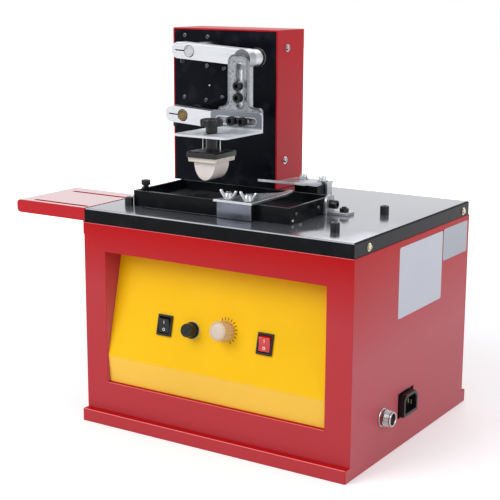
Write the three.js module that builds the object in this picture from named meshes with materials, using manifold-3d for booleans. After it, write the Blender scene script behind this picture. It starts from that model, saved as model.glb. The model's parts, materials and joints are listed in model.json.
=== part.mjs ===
// A bench pad printing machine: a red sheet metal case with a sloping control panel, a black lid
// with an open ink tray and its cup carriage, and a tower whose parallel arms swing the printing
// pad from the tray over to the side table.
// Millimetres, +Z up, +X to the right and +Y to the back. The origin is the centre of the underside.
import * as THREE from 'three';
import { mergeVertices } from 'three/addons/utils/BufferGeometryUtils.js';
import Module from 'manifold-3d';

const wasm = await Module();
wasm.setup();

// Shared clearances and sheet
const gap = 0.3;             // running and seating clearance
const overrun = 2;           // how far a cutter reaches past the face it cuts
const sheet = 1.5;           // folded steel sheet
const roundSides = 28;       // sides of a large round
const smallSides = 16;       // sides of a small round
const hexSides = 6;
const fineSteps = 6;         // steps in a quarter of a wide curve
const cornerSteps = 3;       // steps in a quarter of a corner
const slotSteps = 2;         // steps in a quarter of a narrow slot's end

// Case, plinth and lid
const caseWidth = 300;
const caseDepth = 251;
const caseTop = 203;         // top edge of the case walls above the floor
const plinthHeight = 13;
const plinthOverhang = 8.2;  // plinth in front of and behind the case
const plinthWall = 2;
const plinthLedge = 10;      // top ledge inside the case walls
const lidHeight = 14;
const lidFold = 2;           // folded edge of the lid
const lidInset = 0.8;        // edge of the case that shows around the lid
const lidTop = caseTop + lidHeight;
const lidUnder = lidTop - sheet;

// Recess in the case front and its control panel
const recessLeft = 26.3;
const recessRightMargin = 26.8;
const recessBottom = 43;
const recessHeight = 133;
const recessDepth = 31;
const panelBend = 70.5;      // height of the fold in the panel
const panelSetback = 1.5;    // of the fold, behind the case front
const panelLean = 24.5;      // how much further back its top stands
const panelToe = 2.5;        // how much further back its bottom stands

// Controls on the panel, with their heights along the slope above the fold
const controlRise = 40;
const leftRockerAt = 90.5;
const rightRockerAt = 204.5;
const rockerBezelWidth = 17;
const rockerBezelHeight = 20.5;
const rockerBezelDepth = 2;
const rockerBodyDepth = 17;
const rockerRim = 2.2;       // bezel around the key
const rockerPivotDepth = 3;  // pivot behind the face of the bezel
const rockerRise = 4;        // ends of the key in front of its pivot
const rockerDip = 0.8;       // middle of the key below its ends
const rockerBack = 2.5;      // back of the key behind its pivot
const rockerTilt = 9;        // degrees either side of level
const fuseAt = 122.5;
const fuseFlangeRadius = 8.2;
const fuseFlangeDepth = 2.5;
const fuseBodyRadius = 6.8;
const fuseBodyDepth = 26;
const fuseCapRadius = 7.2;
const fuseCapLength = 9;
const fuseWall = 2;
const fusePlugDepth = 8;     // plug of the cap behind the panel's face
const knobAt = 160;
const knobRise = 45;          // up the slope
const knobRadius = 9.8;
const knobLength = 15;
const knobFlutes = 18;
const knobFluteDepth = 0.7;
const potShaftRadius = 3;
const potBushRadius = 4.6;
const potRadius = 12;
const potDepth = 11;

// Sockets on the right side
const socketHeight = 42;     // of both centres
const inletAt = 112;
const inletWidth = 30;
const inletHeight = 21.5;
const inletProud = 6;
const inletDepth = 24;
const inletWall = 3;
const inletFlange = 5;       // ears inside the case wall
const inletWindow = 1.5;     // play of the inlet in its window
const inletPinWidth = 2;
const inletPinHeight = 5;
const inletPinSpacing = 7;
const connectorAt = 62;
const connectorFlangeRadius = 9;
const connectorFlange = 2;
const connectorRadius = 7.4;
const connectorProud = 11.5;
const connectorBore = 5.5;
const connectorBoreDepth = 8;
const connectorInside = 12;

// Side table
const tableWidth = 89;
const tableFront = 1.4;
const tableDepth = 88;
const tableThickness = 13;
const tableEdgeRadius = 4;
const tableSlotWidth = 5;
const tableSlotLength = 70;
const tableSlotFront = 8;    // first slot from the table's front edge
const tableSlotBack = 20;    // second slot from its back edge
const tableFlangeDrop = 26;  // mounting flange below the table's top

// Tower
const towerLeft = -32.6;
const towerWidth = 134.5;
const towerDepth = 54.8;
const towerFront = caseDepth - towerDepth;
const towerHeight = 168;
const towerSheet = 2;
const wireHoleRadius = 9;
const wireHoleAt = 60;       // behind the tower's left side

// Swinging arms
const shaftAt = 24;
const upperShaftRise = 146;  // above the lid
const shaftSpacing = 65.5;
const upperShaftHeight = lidTop + upperShaftRise;
const lowerShaftHeight = upperShaftHeight - shaftSpacing;
const shaftRadius = 6;
const armLength = 74;        // shaft to link pivot
const armHeight = 17;
const armTail = 14;          // straight part behind the shaft
const armDroop = 3.5;        // degrees below level at rest
const armReach = 50.2;       // front of the upper arm ahead of the tower's panel
const upperArmFront = towerFront - armReach;
const upperArmDepth = 15;
const linkDepth = 12;
const slitHeight = 1.2;
const slitInset = 5;         // slit ends this far inside the arm's tail
const pinRadius = 4;
const pinHeadRadius = 10;
const pinHeadDepth = 3;
const bearingRadius = 9;
const bearingFlangeRadius = 15;
const bearingFlangeDepth = 8;
const spacerRadius = 8;
const spacerDepth = 14;
const collarRadius = 10;
const collarDepth = 4;

// Link bar, height bracket and shift bracket of the head
const linkWidth = 20;        // across its two eyes
const linkWaist = 12;        // between them
const linkDrop = 17;         // full thickness of the link starts this far above its lower pivot
const armLapLength = 20;     // thinned end of the lower arm
const bracketThickness = 4.5;
const neckWidth = 23.4;
const neckShift = -2.2;      // middle of the neck from the link's
const neckTop = 4.5;         // above the upper pivot
const footWidth = 51.5;
const footRise = 13;         // top of the foot above the lower shaft
const footTop = lowerShaftHeight + footRise;
const footHeight = 20;
const footRadius = 4;
const footFlare = 8;         // hollow curve from foot to neck
const screwRadius = 3;
const screwHeadRadius = 4.7;
const screwHeadLength = 6;
const screwSocketRadius = 2.7;
const screwEnd = 4;          // height screws end this far inside the link's back
const heightSlotDrop = 9;    // slot's top below the upper shaft
const heightSlotRise = 12.5; // its bottom above the lower shaft
const heightScrewRise = 28.5;
const heightScrewHeight = lowerShaftHeight + heightScrewRise;
const heightScrewSpacing = 12;
const slotWidth = 7;
const shiftPlateWidth = 62;
const shiftPlateThickness = 2.2;
const shiftPlateRise = 8.9;  // above the lower shaft
const shiftPlateTop = lowerShaftHeight + shiftPlateRise;
const shiftPlateHeight = 20.1;
const shiftFlangeDepth = 67.5;
const shiftOffset = -2.6;      // shift bracket from the link's middle, as set
const shiftSlotLength = 48;
const shiftSlotDrop = 9.6;     // slot below the top edge
const shiftScrewSpacing = 12.8;
const shiftCornerRadius = 4;

// Pad and its holder
const padFromEdge = 21.8;      // pad centre behind the flange's front edge
const knobHeadRadius = 11.4;
const knobHeadHeight = 7;
const knobHeadRibs = 16;
const knobNeckRadius = 5.8;
const knobNeckHeight = 7;
const columnRadius = 5.6;
const columnHeight = 14;
const studRadius = 3;
const depthSlotLength = 42;
const depthSlotFront = 10;   // slot behind the flange's front edge
const guideSpacing = 20.6;
const guideRadius = 1;
const holderWidth = 34.5;
const holderDepth = 37.6;
const holderHeight = 6;
const padBaseInset = 0.7;
const padBaseHeight = 4.5;
const padWidth = 25.2;
const padDepth = 25;
const padHeight = 18.3;
const padSteps = 16;

// Ink tray with its plate, thumb screw and holding bracket
const trayLeft = 31.6;
const trayWidth = 180;
const trayFront = 39.7;
const trayDepth = 83.6;
const trayHeight = 15.4;
const trayWall = 3;
const trayFloor = 2.5;
const plateInset = 1;
const plateThickness = 4;
const thumbAt = 22;          // thumb screw behind the tray's front
const thumbRadius = 4.6;
const thumbHeadHeight = 5;
const thumbNeckRadius = 2.8;
const thumbNeckHeight = 1.8;
const thumbBossRadius = 4.5;
const earRadius = 9;
const earThickness = 3;
const earAt = 12;            // ear centre in front of the tray's back
const earHeight = 9;
const earFootLength = 22;
const earFootDepth = 15;

// Cup carriage: two rails under the lid, and brackets that come up through the lid
const railInset = 28.8;      // left rail bolts, from the case's left
const railRightMargin = 39;  // right rail bolts, from the case's right
const railFront = 35.8;
const railSpacing = 98.4;
const railRadius = 5;
const railDrop = 17;         // rail centre below the lid's top
const postRadius = 4.3;
const postHeight = 8.6;
const postStemRadius = 2.5;
const postStemLength = 9;
const supportWidth = 16;
const supportMargin = 9;     // support beyond the rail centres
const supportDrop = 10;      // support below the rail centre
const supportBridge = 8;     // of the support over the rack's passage
const cupCentre = 164.5;     // middle of the carriage at rest
const carriageTravel = 99;
const carriageWidth = 56;
const carriageHeight = 18;
const bridgeThickness = 4;   // plate between the two sliding blocks
const cupBracketWidth = 38.5;
const cupBracketDepth = 8.4;
const cupBracketLift = 0.4;  // its top above the tray's rim
const stemWidth = 20;
const stemDepth = 3.6;
const lidSlotPlay = 0.7;     // on each side of a stem
const cupArmWidth = 43;
const frontArmLength = 75;
const rearArmLength = 60.8;
const cupArmShares = [[0.98, 0.03], [0.63, 0.66], [0.49, 0.71], [0.16, 0.89], [0.1, 1]];
const rearArmSweep = 7.8;    // tip of the rear arm beyond its straight edge
const cupArmThickness = 2.4;
const cupArmCurl = 12;       // turned up end
const cupArmRise = 2;
const frontArmLead = 7;      // front arm ahead of its studs
const frontArmShift = 8.7;   // front arm to the left of the carriage's middle
const rearArmShift = 5.5;    // rear arm to the right of it
const studSpacing = 22;
const studShift = 2.4;       // studs to the right of their arm's middle
const wingStudRadius = 2.5;
const wingStudHeight = 7.5;
const wingHubRadius = 4.6;
const wingHubHeight = 5;
const wingSpan = 20;
const wingHeight = 8.5;
const wingThickness = 2.4;
const leftWingTurn = 20;     // degrees
const rightWingTurn = -15;
const rearBlockWidth = 26;
const rearBlockLead = 5;     // right of its arm's middle
const rearBlockDepth = 24;
const rearBlockFront = 132;
const rearBlockRise = 5;     // above the front bracket's top
const rearArmTilt = 10;      // degrees
const rearBoltAt = 5;        // bolts of the rear arm from its block's back
const rearArmFlat = 30;      // flat part of the rear arm
const rearArmLead = 2;       // rear arm behind its block
const rearTabWidth = 10;     // tab turned down at the rear arm's right end
const rearTabDrop = 12;

// Drives
const toothModule = 1.5;
const pressureAngle = 20;    // degrees
const backlash = 0.35;
const armGearTeeth = 20;
const swingPinionTeeth = 15;
const gearWidth = 8;
const gearBehind = 3;        // gear behind the bearing flange
const motorRadius = 18;
const motorShaftRadius = 3;
const motorClear = 3;        // motor face behind its pinion
const motorBore = 6;         // shaft inside the motor
const drivePinionTeeth = 16;
const drivePinionAt = 112;
const rackLead = 8;         // rack beyond the pinion at either end of its travel
const rackHeight = 8;
const rackWidth = 10;
const rackFront = 82;
const driveMotorLength = 46;
const standWidth = 50;
const standThickness = 3;
const standFootDepth = 30;

// Electronics on the floor of the plinth
const boardRightMargin = 40; // from the case's right side
const boardBackMargin = 36;  // from its back
const boardWidth = 90;
const boardDepth = 65;
const boardThickness = 1.6;
const boardLegHeight = 8;
const boardLegWidth = 6;


// Solids are made from closed three.js geometries, and joined and cut as closed bodies
const solid = (geometry) => {
  geometry.deleteAttribute('normal');
  geometry.deleteAttribute('uv');
  const merged = mergeVertices(geometry);
  return new wasm.Manifold(new wasm.Mesh({
    numProp: 3,
    vertProperties: new Float32Array(merged.attributes.position.array),
    triVerts: new Uint32Array(merged.index.array),
  }));
};

const join = (first, ...others) => others.reduce((sum, other) => sum.add(other), first);
const cut = (first, ...others) => others.reduce((rest, other) => rest.subtract(other), first);

const box = (x0, x1, y0, y1, z0, z1) => solid(new THREE.BoxGeometry(x1 - x0, y1 - y0, z1 - z0)
  .translate((x0 + x1) / 2, (y0 + y1) / 2, (z0 + z1) / 2));

// A round bar along an axis; a and b are its centre on the two other axes, in their order
const rod = (axis, radius, from, to, a, b, sides = roundSides, endRadius = radius) => {
  const bar = new THREE.CylinderGeometry(endRadius, radius, to - from, sides);
  const middle = (from + to) / 2;
  if (axis === 'x') return solid(bar.rotateZ(-Math.PI / 2).translate(middle, a, b));
  if (axis === 'y') return solid(bar.translate(a, middle, b));
  return solid(bar.rotateX(Math.PI / 2).translate(a, b, middle));
};

// An outline made into a plate across an axis: outlines are (Y, Z), (X, Z) or (X, Y)
const plate = (outline, axis, from, to, steps = cornerSteps) => {
  const blank = new THREE.ExtrudeGeometry(outline, {
    depth: to - from, bevelEnabled: false, curveSegments: steps,
  });
  if (axis === 'x') {
    const turn = new THREE.Matrix4().makeBasis(
      new THREE.Vector3(0, 1, 0), new THREE.Vector3(0, 0, 1), new THREE.Vector3(1, 0, 0));
    return solid(blank.applyMatrix4(turn).translate(from, 0, 0));
  }
  if (axis === 'y') return solid(blank.rotateX(Math.PI / 2).translate(0, to, 0));
  return solid(blank.translate(0, 0, from));
};

const outline = (points) => new THREE.Shape(points.map(([a, b]) => new THREE.Vector2(a, b)));

const rounded = (a0, a1, b0, b1, radius) => {
  const shape = new THREE.Shape();
  shape.absarc(a1 - radius, b0 + radius, radius, -Math.PI / 2, 0);
  shape.absarc(a1 - radius, b1 - radius, radius, 0, Math.PI / 2);
  shape.absarc(a0 + radius, b1 - radius, radius, Math.PI / 2, Math.PI);
  shape.absarc(a0 + radius, b0 + radius, radius, Math.PI, 1.5 * Math.PI);
  shape.closePath();
  return shape;
};

// A ribbed grip around an axis, as for a hand knob
const ribShares = [[0, 0], [0.45, 0], [0.55, 1], [0.9, 1]];  // of a rib's pitch and of its depth
const ribbed = (radius, ribs, depth) => {
  const points = [];
  for (let i = 0; i < ribs; i += 1) {
    ribShares.forEach(([along, inward]) => {
      const angle = 2 * Math.PI * (i + along) / ribs;
      const reach = radius - inward * depth;
      points.push([reach * Math.cos(angle), reach * Math.sin(angle)]);
    });
  }
  return outline(points);
};

// Meshes are placed from the left side and the front of the case
const machine = new THREE.Group();
const frame = new THREE.Group();
frame.position.set(-caseWidth / 2, -caseDepth / 2, 0);
machine.add(frame);

const finishes = {
  redPaint: [0xb41e24, 0.45, 0],
  yellowPanel: [0xf8c61e, 0.5, 0],
  blackPaint: [0x17181b, 0.35, 0],
  blackPlastic: [0x141416, 0.4, 0],
  redPlastic: [0xc81e1e, 0.35, 0],
  creamPlastic: [0xe6d9b4, 0.45, 0],
  steel: [0xb9bec6, 0.3, 1],
  blackSteel: [0x1c1c1e, 0.4, 0.6],
  castAluminium: [0x8f9297, 0.55, 0.8],
  brushedAluminium: [0xc9ccd0, 0.35, 0.9],
  chrome: [0xdadde2, 0.12, 1],
  brass: [0xb49650, 0.3, 1],
  wood: [0xe2cfa2, 0.6, 0],
  silicone: [0xd8cec6, 0.4, 0],
  etchedSteel: [0x3a3c40, 0.3, 0.8],
  greenBoard: [0x1f5a38, 0.5, 0],
};

const piece = (name, body, finish, group = frame) => {
  const made = body.getMesh();
  const geometry = new THREE.BufferGeometry();
  geometry.setAttribute('position', new THREE.BufferAttribute(made.vertProperties, 3));
  geometry.setIndex(new THREE.BufferAttribute(made.triVerts, 1));
  const [color, roughness, metalness] = finishes[finish];
  const mesh = new THREE.Mesh(geometry, new THREE.MeshStandardMaterial({ color, roughness, metalness }));
  mesh.name = name;
  group.add(mesh);
};

// Plinth: a shallow tray whose top ledge carries the case
piece('base_plinth', cut(
  box(0, caseWidth, -plinthOverhang, caseDepth + plinthOverhang, 0, plinthHeight),
  box(plinthWall, caseWidth - plinthWall, plinthWall - plinthOverhang,
    caseDepth + plinthOverhang - plinthWall, plinthWall, plinthHeight - sheet),
  box(plinthLedge, caseWidth - plinthLedge, plinthLedge, caseDepth - plinthLedge,
    plinthHeight - plinthWall, plinthHeight + overrun),
), 'redPaint');

// Case: four walls, with a recess for the control panel and two windows on the right
const recessRight = caseWidth - recessRightMargin;
const recessTop = recessBottom + recessHeight;
const inletLow = socketHeight - inletHeight / 2;
const inletHigh = socketHeight + inletHeight / 2;
piece('case_shell', cut(
  join(
    cut(
      box(0, caseWidth, 0, caseDepth, plinthHeight, caseTop),
      box(sheet, caseWidth - sheet, sheet, caseDepth - sheet, plinthHeight - overrun, caseTop + overrun),
    ),
    box(recessLeft - sheet, recessRight + sheet, 0, recessDepth, recessBottom - sheet, recessTop + sheet),
  ),
  box(recessLeft, recessRight, -overrun, recessDepth + overrun, recessBottom, recessTop),
  box(caseWidth - sheet - gap, caseWidth + overrun, inletAt - inletWidth / 2 - inletWindow,
    inletAt + inletWidth / 2 + inletWindow, inletLow - inletWindow, inletHigh + inletWindow),
  rod('x', connectorRadius + gap, caseWidth - sheet - gap, caseWidth + overrun, connectorAt, socketHeight),
), 'redPaint');

// Control panel: its group has its origin on the fold, +Z up the slope and +Y into the case
const panelGroup = new THREE.Group();
const slopeRise = recessTop - gap - panelBend;
const lean = Math.atan2(panelLean, slopeRise);
panelGroup.position.set(0, panelSetback, panelBend);
panelGroup.rotation.x = -lean;
frame.add(panelGroup);

const slopeLength = Math.hypot(panelLean, slopeRise);
const toeDrop = panelBend - recessBottom - gap;
const toeLength = Math.hypot(panelToe, toeDrop);
const toeAngle = Math.atan2(panelToe, toeDrop) + lean;
const toe = [toeLength * Math.sin(toeAngle), -toeLength * Math.cos(toeAngle)];
const toeInside = [toe[0] + sheet * Math.cos(toeAngle), toe[1] + sheet * Math.sin(toeAngle)];
const panelOutline = outline([
  [0, 0], toe, toeInside, [sheet, 0], [sheet, slopeLength], [0, slopeLength],
]);
const panelLeft = recessLeft + gap;
const panelRight = recessRight - gap;
const switchHole = (at) => box(
  at - rockerBezelWidth / 2 + rockerRim / 2 - gap, at + rockerBezelWidth / 2 - rockerRim / 2 + gap,
  -overrun, sheet + overrun,
  controlRise - rockerBezelHeight / 2 + rockerRim / 2 - gap,
  controlRise + rockerBezelHeight / 2 - rockerRim / 2 + gap,
);
piece('control_panel', cut(
  plate(panelOutline, 'x', panelLeft, panelRight),
  switchHole(leftRockerAt),
  switchHole(rightRockerAt),
  rod('y', fuseBodyRadius + gap, -overrun, sheet + overrun, fuseAt, controlRise),
  rod('y', potBushRadius + gap, -overrun, sheet + overrun, knobAt, knobRise),
), 'yellowPanel', panelGroup);

// Rocker switches: a body with a hollow, and a key that tips about a pin across it
const keyWidth = rockerBezelWidth - 2 * rockerRim - 2 * gap;
const keyReach = rockerBezelHeight / 2 - rockerRim - gap;
const keyPivot = rockerPivotDepth - rockerBezelDepth;
const keyEnd = (depth) => Math.sqrt(keyReach ** 2 - depth ** 2);
const keyOutline = outline([
  [rockerDip - rockerRise, 0], [-rockerRise, -keyEnd(rockerRise)], [0, -keyReach],
  [rockerBack, -keyEnd(rockerBack)], [rockerBack, keyEnd(rockerBack)], [0, keyReach],
  [-rockerRise, keyEnd(rockerRise)],
]);
const hollowDepth = keyPivot + rockerBack + keyReach * Math.sin(rockerTilt * Math.PI / 180) + gap;
const rockers = [['left', leftRockerAt, 'blackPlastic'], ['right', rightRockerAt, 'redPlastic']];
rockers.forEach(([side, at, finish]) => {
  piece(`${side}_switch`, cut(
    join(
      box(at - rockerBezelWidth / 2, at + rockerBezelWidth / 2, -rockerBezelDepth, -gap,
        controlRise - rockerBezelHeight / 2, controlRise + rockerBezelHeight / 2),
      box(at - rockerBezelWidth / 2 + rockerRim / 2, at + rockerBezelWidth / 2 - rockerRim / 2,
        -rockerBezelDepth, rockerBodyDepth, controlRise - rockerBezelHeight / 2 + rockerRim / 2,
        controlRise + rockerBezelHeight / 2 - rockerRim / 2),
    ),
    box(at - rockerBezelWidth / 2 + rockerRim, at + rockerBezelWidth / 2 - rockerRim,
      -rockerBezelDepth - overrun, hollowDepth, controlRise - rockerBezelHeight / 2 + rockerRim,
      controlRise + rockerBezelHeight / 2 - rockerRim),
  ), 'blackPlastic', panelGroup);
  const key = new THREE.Group();
  key.position.set(at, keyPivot, controlRise);
  key.rotation.x = rockerTilt * Math.PI / 180;
  panelGroup.add(key);
  piece(`${side}_rocker`, plate(keyOutline, 'x', -keyWidth / 2, keyWidth / 2), finish, key);
});

// Fuse holder with its quarter-turn cap
const fuseBore = fuseBodyRadius - fuseWall;
const fusePlug = fuseBore - gap;
piece('fuse_holder', cut(
  join(
    rod('y', fuseFlangeRadius, -fuseFlangeDepth, -gap, fuseAt, controlRise),
    rod('y', fuseBodyRadius, -fuseFlangeDepth, fuseBodyDepth, fuseAt, controlRise),
  ),
  rod('y', fuseBore, -fuseFlangeDepth - overrun, fuseBodyDepth - fuseWall, fuseAt, controlRise),
), 'blackPlastic', panelGroup);
piece('fuse_cap', join(
  rod('y', fuseCapRadius, -fuseFlangeDepth - fuseCapLength, -fuseFlangeDepth - gap, fuseAt, controlRise),
  rod('y', fusePlug, -fuseFlangeDepth - fuseCapLength, fusePlugDepth, fuseAt, controlRise),
), 'blackPlastic', panelGroup);

// Speed control: a potentiometer behind the panel, and its knob with the shaft pressed in
piece('speed_pot', cut(
  join(
    rod('y', potRadius, sheet + gap, sheet + gap + potDepth, knobAt, knobRise),
    rod('y', potBushRadius, -gap, sheet + gap + potDepth, knobAt, knobRise),
  ),
  rod('y', potShaftRadius + gap, -overrun, sheet + potDepth / 2, knobAt, knobRise, smallSides),
), 'steel', panelGroup);
const knobGroup = new THREE.Group();
knobGroup.position.set(knobAt, 0, knobRise);
panelGroup.add(knobGroup);
piece('speed_knob', join(
  plate(ribbed(knobRadius, knobFlutes, knobFluteDepth), 'y', -knobLength, -2 * gap),
  rod('y', potShaftRadius, -knobLength / 2, sheet + potDepth / 2 - gap, 0, 0, smallSides),
), 'creamPlastic', knobGroup);

// Mains inlet and round connector in the right side
const inletFace = caseWidth + inletProud;
const inletBack = inletFace - inletDepth / 2 - inletProud;
const pin = (at) => box(
  inletBack, inletFace - inletWall, at - inletPinWidth / 2, at + inletPinWidth / 2,
  socketHeight - inletPinHeight / 2, socketHeight + inletPinHeight / 2,
);
piece('mains_inlet', join(
  cut(
    join(
      box(inletFace - inletDepth, inletFace, inletAt - inletWidth / 2, inletAt + inletWidth / 2,
        inletLow, inletHigh),
      box(caseWidth - sheet - inletWall, caseWidth - sheet, inletAt - inletWidth / 2 - inletFlange,
        inletAt + inletWidth / 2 + inletFlange, inletLow, inletHigh),
    ),
    box(inletBack, inletFace + overrun, inletAt - inletWidth / 2 + inletWall,
      inletAt + inletWidth / 2 - inletWall, inletLow + inletWall, inletHigh - inletWall),
  ),
  pin(inletAt - inletPinSpacing), pin(inletAt), pin(inletAt + inletPinSpacing),
), 'blackPlastic');
const connectorFace = caseWidth + connectorProud;
piece('round_connector', cut(
  join(
    rod('x', connectorRadius, caseWidth - connectorInside, connectorFace, connectorAt, socketHeight),
    rod('x', connectorFlangeRadius, caseWidth, caseWidth + connectorFlange, connectorAt, socketHeight),
  ),
  rod('x', connectorBore, connectorFace - connectorBoreDepth, connectorFace + overrun,
    connectorAt, socketHeight),
), 'chrome');

// Lid: a shallow folded cover with two slots for the carriage, bolt holes and a wire hole
const railBack = railFront + railSpacing;
const railRight = caseWidth - railRightMargin;
const frontArmMiddle = cupCentre - frontArmShift;
const rearArmMiddle = cupCentre + rearArmShift;
const rearBlockMiddle = rearArmMiddle + rearBlockLead;
const boltPlaces = [
  [railInset, railFront], [railRight, railFront], [railInset, railBack], [railRight, railBack],
];
const bracketMiddle = trayFront - gap - cupBracketDepth / 2;
const lidSlot = (middle, depth) => box(
  middle - stemWidth / 2 - carriageTravel - lidSlotPlay, middle + stemWidth / 2 + lidSlotPlay,
  depth - stemDepth / 2 - lidSlotPlay, depth + stemDepth / 2 + lidSlotPlay,
  lidUnder - overrun, lidTop + overrun,
);
const wireHole = (low, high) => rod('z', wireHoleRadius, low - overrun, high + overrun,
  towerLeft + wireHoleAt, towerFront + towerDepth / 2);
const lidRight = caseWidth - lidInset;
const lidBack = caseDepth - lidInset;
piece('lid', cut(
  plate(rounded(lidInset, lidRight, caseTop - lidFold, lidTop, lidFold), 'y', lidInset, lidBack).intersect(
    plate(rounded(lidInset, lidBack, caseTop - lidFold, lidTop, lidFold), 'x', lidInset, lidRight)),
  box(-overrun, caseWidth + overrun, -overrun, caseDepth + overrun, caseTop - lidFold - overrun, caseTop),
  box(lidInset + sheet, lidRight - sheet, lidInset + sheet, lidBack - sheet, caseTop - overrun, lidUnder),
  lidSlot(frontArmMiddle, bracketMiddle),
  lidSlot(rearBlockMiddle, railBack),
  wireHole(lidUnder, lidTop),
  ...boltPlaces.map(([x, y]) => rod('z', postStemRadius + gap, lidUnder - overrun, lidTop + overrun,
    x, y, smallSides)),
), 'blackPaint');

// Side table: a slotted plate with a mounting flange on the case's left side
const tableBack = tableFront + tableDepth;
const tableSlotRight = -tableEdgeRadius / 2;
const tableSlot = (y) => plate(rounded(tableSlotRight - tableSlotLength, tableSlotRight,
  y - tableSlotWidth / 2, y + tableSlotWidth / 2, tableSlotWidth / 2 - gap), 'z',
lidTop - tableThickness - overrun, lidTop + overrun, slotSteps);
piece('side_table', cut(
  join(
    plate(rounded(-tableWidth, tableEdgeRadius, lidTop - tableThickness, lidTop, tableEdgeRadius),
      'y', tableFront, tableBack),
    box(-towerSheet, 0, tableFront, tableBack, lidTop - tableFlangeDrop, lidTop),
  ),
  box(0, tableEdgeRadius + overrun, tableFront - overrun, tableBack + overrun,
    lidTop - tableThickness - overrun, lidTop + overrun),
  tableSlot(tableFront + tableSlotFront),
  tableSlot(tableBack - tableSlotBack),
), 'redPaint');

// Tower: a box open to the front, and the panel that closes it
const towerRight = towerLeft + towerWidth;
const towerBack = towerFront + towerDepth;
const towerTop = lidTop + towerHeight;
piece('tower_shell', cut(
  box(towerLeft, towerRight, towerFront, towerBack, lidTop, towerTop),
  box(towerLeft + towerSheet, towerRight - towerSheet, towerFront - overrun, towerBack - towerSheet,
    lidTop + towerSheet, towerTop - towerSheet),
  box(towerLeft + towerSheet, towerRight - towerSheet, towerFront - overrun, towerFront + towerSheet + gap,
    lidTop - overrun, lidTop + towerSheet + overrun),
  wireHole(lidTop, lidTop + towerSheet),
), 'redPaint');
piece('tower_front_panel', cut(
  box(towerLeft + towerSheet + gap, towerRight - towerSheet - gap, towerFront, towerFront + towerSheet,
    lidTop + gap, towerTop - towerSheet - gap),
  rod('y', bearingRadius + gap, towerFront - overrun, towerFront + towerSheet + overrun,
    shaftAt, upperShaftHeight),
  rod('y', bearingRadius + gap, towerFront - overrun, towerFront + towerSheet + overrun,
    shaftAt, lowerShaftHeight),
), 'blackPaint');

// Bearings: flanged sleeves bolted behind the tower's panel
const upperArmBack = upperArmFront + upperArmDepth;
const linkBack = upperArmFront - gap;
const linkFront = linkBack - linkDepth;
const lowerArmFront = linkFront + gap;
const lowerArmBack = linkBack - gap;
const flangeFront = towerFront + towerSheet;
const flangeBack = flangeFront + bearingFlangeDepth;
const bearing = (front, height) => cut(
  join(
    rod('y', bearingRadius, front, flangeBack, shaftAt, height),
    rod('y', bearingFlangeRadius, flangeFront, flangeBack, shaftAt, height),
  ),
  rod('y', shaftRadius + gap, front - overrun, flangeBack + overrun, shaftAt, height),
);
const spacerBack = lowerArmBack + gap + spacerDepth;
piece('upper_bearing', bearing(upperArmBack + 2 * gap, upperShaftHeight), 'blackSteel');
piece('lower_bearing', bearing(spacerBack + gap, lowerShaftHeight), 'blackSteel');

// Involute gear with a tooth pointing right
const pressure = pressureAngle * Math.PI / 180;
const rootShare = 1.25;      // depth of a tooth's root, in modules
const flankShares = [0, 0.33, 0.66, 1];
const involute = (angle) => Math.tan(angle) - angle;
const pitchRadius = (teeth) => toothModule * teeth / 2;
const gear = (teeth) => {
  const pitch = pitchRadius(teeth);
  const base = pitch * Math.cos(pressure);
  const root = pitch - rootShare * toothModule;
  const tip = pitch + toothModule;
  const start = Math.max(base, root);
  const halfTooth = Math.PI / (2 * teeth) - backlash / (4 * pitch);
  const flank = flankShares.map((share) => {
    const radius = start + share * (tip - start);
    return [radius, halfTooth + involute(pressure) - involute(Math.acos(base / radius))];
  });
  flank.unshift([root, flank[0][1]]);
  const sides = [...flank.map(([r, a]) => [r, -a]), ...[...flank].reverse()];
  const points = [];
  for (let tooth = 0; tooth < teeth; tooth += 1) {
    sides.forEach(([radius, angle]) => {
      const turn = 2 * Math.PI * tooth / teeth + angle;
      points.push([radius * Math.cos(turn), radius * Math.sin(turn)]);
    });
  }
  return outline(points);
};

// Shafts: the upper one carries the gear that swings it, the lower one a shoulder and a collar
const gearFront = flangeBack + gearBehind;
const gearBack = gearFront + gearWidth;
const swingDistance = pitchRadius(armGearTeeth) + pitchRadius(swingPinionTeeth);
const place = (x, y, z) => {
  const group = new THREE.Group();
  group.position.set(x, y, z);
  frame.add(group);
  return group;
};
piece('upper_shaft', join(
  rod('y', shaftRadius, upperArmFront, gearBack, 0, 0),
  plate(gear(armGearTeeth), 'y', gearFront, gearBack),
), 'steel', place(shaftAt, 0, upperShaftHeight));
piece('lower_shaft', join(
  rod('y', shaftRadius, lowerArmFront, flangeBack + gap + collarDepth, 0, 0),
  rod('y', spacerRadius, lowerArmBack + gap, spacerBack, 0, 0),
  rod('y', collarRadius, flangeBack + gap, flangeBack + gap + collarDepth, 0, 0),
), 'brass', place(shaftAt, 0, lowerShaftHeight));

// Swing motor bolted to the tower's back wall, and the pinion on its shaft
const motorFront = gearBack + motorClear;
const swingPlace = place(shaftAt + swingDistance, 0, upperShaftHeight);
piece('swing_pinion', join(
  plate(gear(swingPinionTeeth), 'y', gearFront, gearBack),
  rod('y', motorShaftRadius, gearFront, motorFront + motorBore - gap, 0, 0, smallSides),
), 'steel', swingPlace);
piece('swing_motor', cut(
  rod('y', motorRadius, motorFront, towerBack - towerSheet, 0, 0),
  rod('y', motorShaftRadius + gap, motorFront - overrun, motorFront + motorBore, 0, 0, smallSides),
), 'blackSteel', swingPlace);

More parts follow.
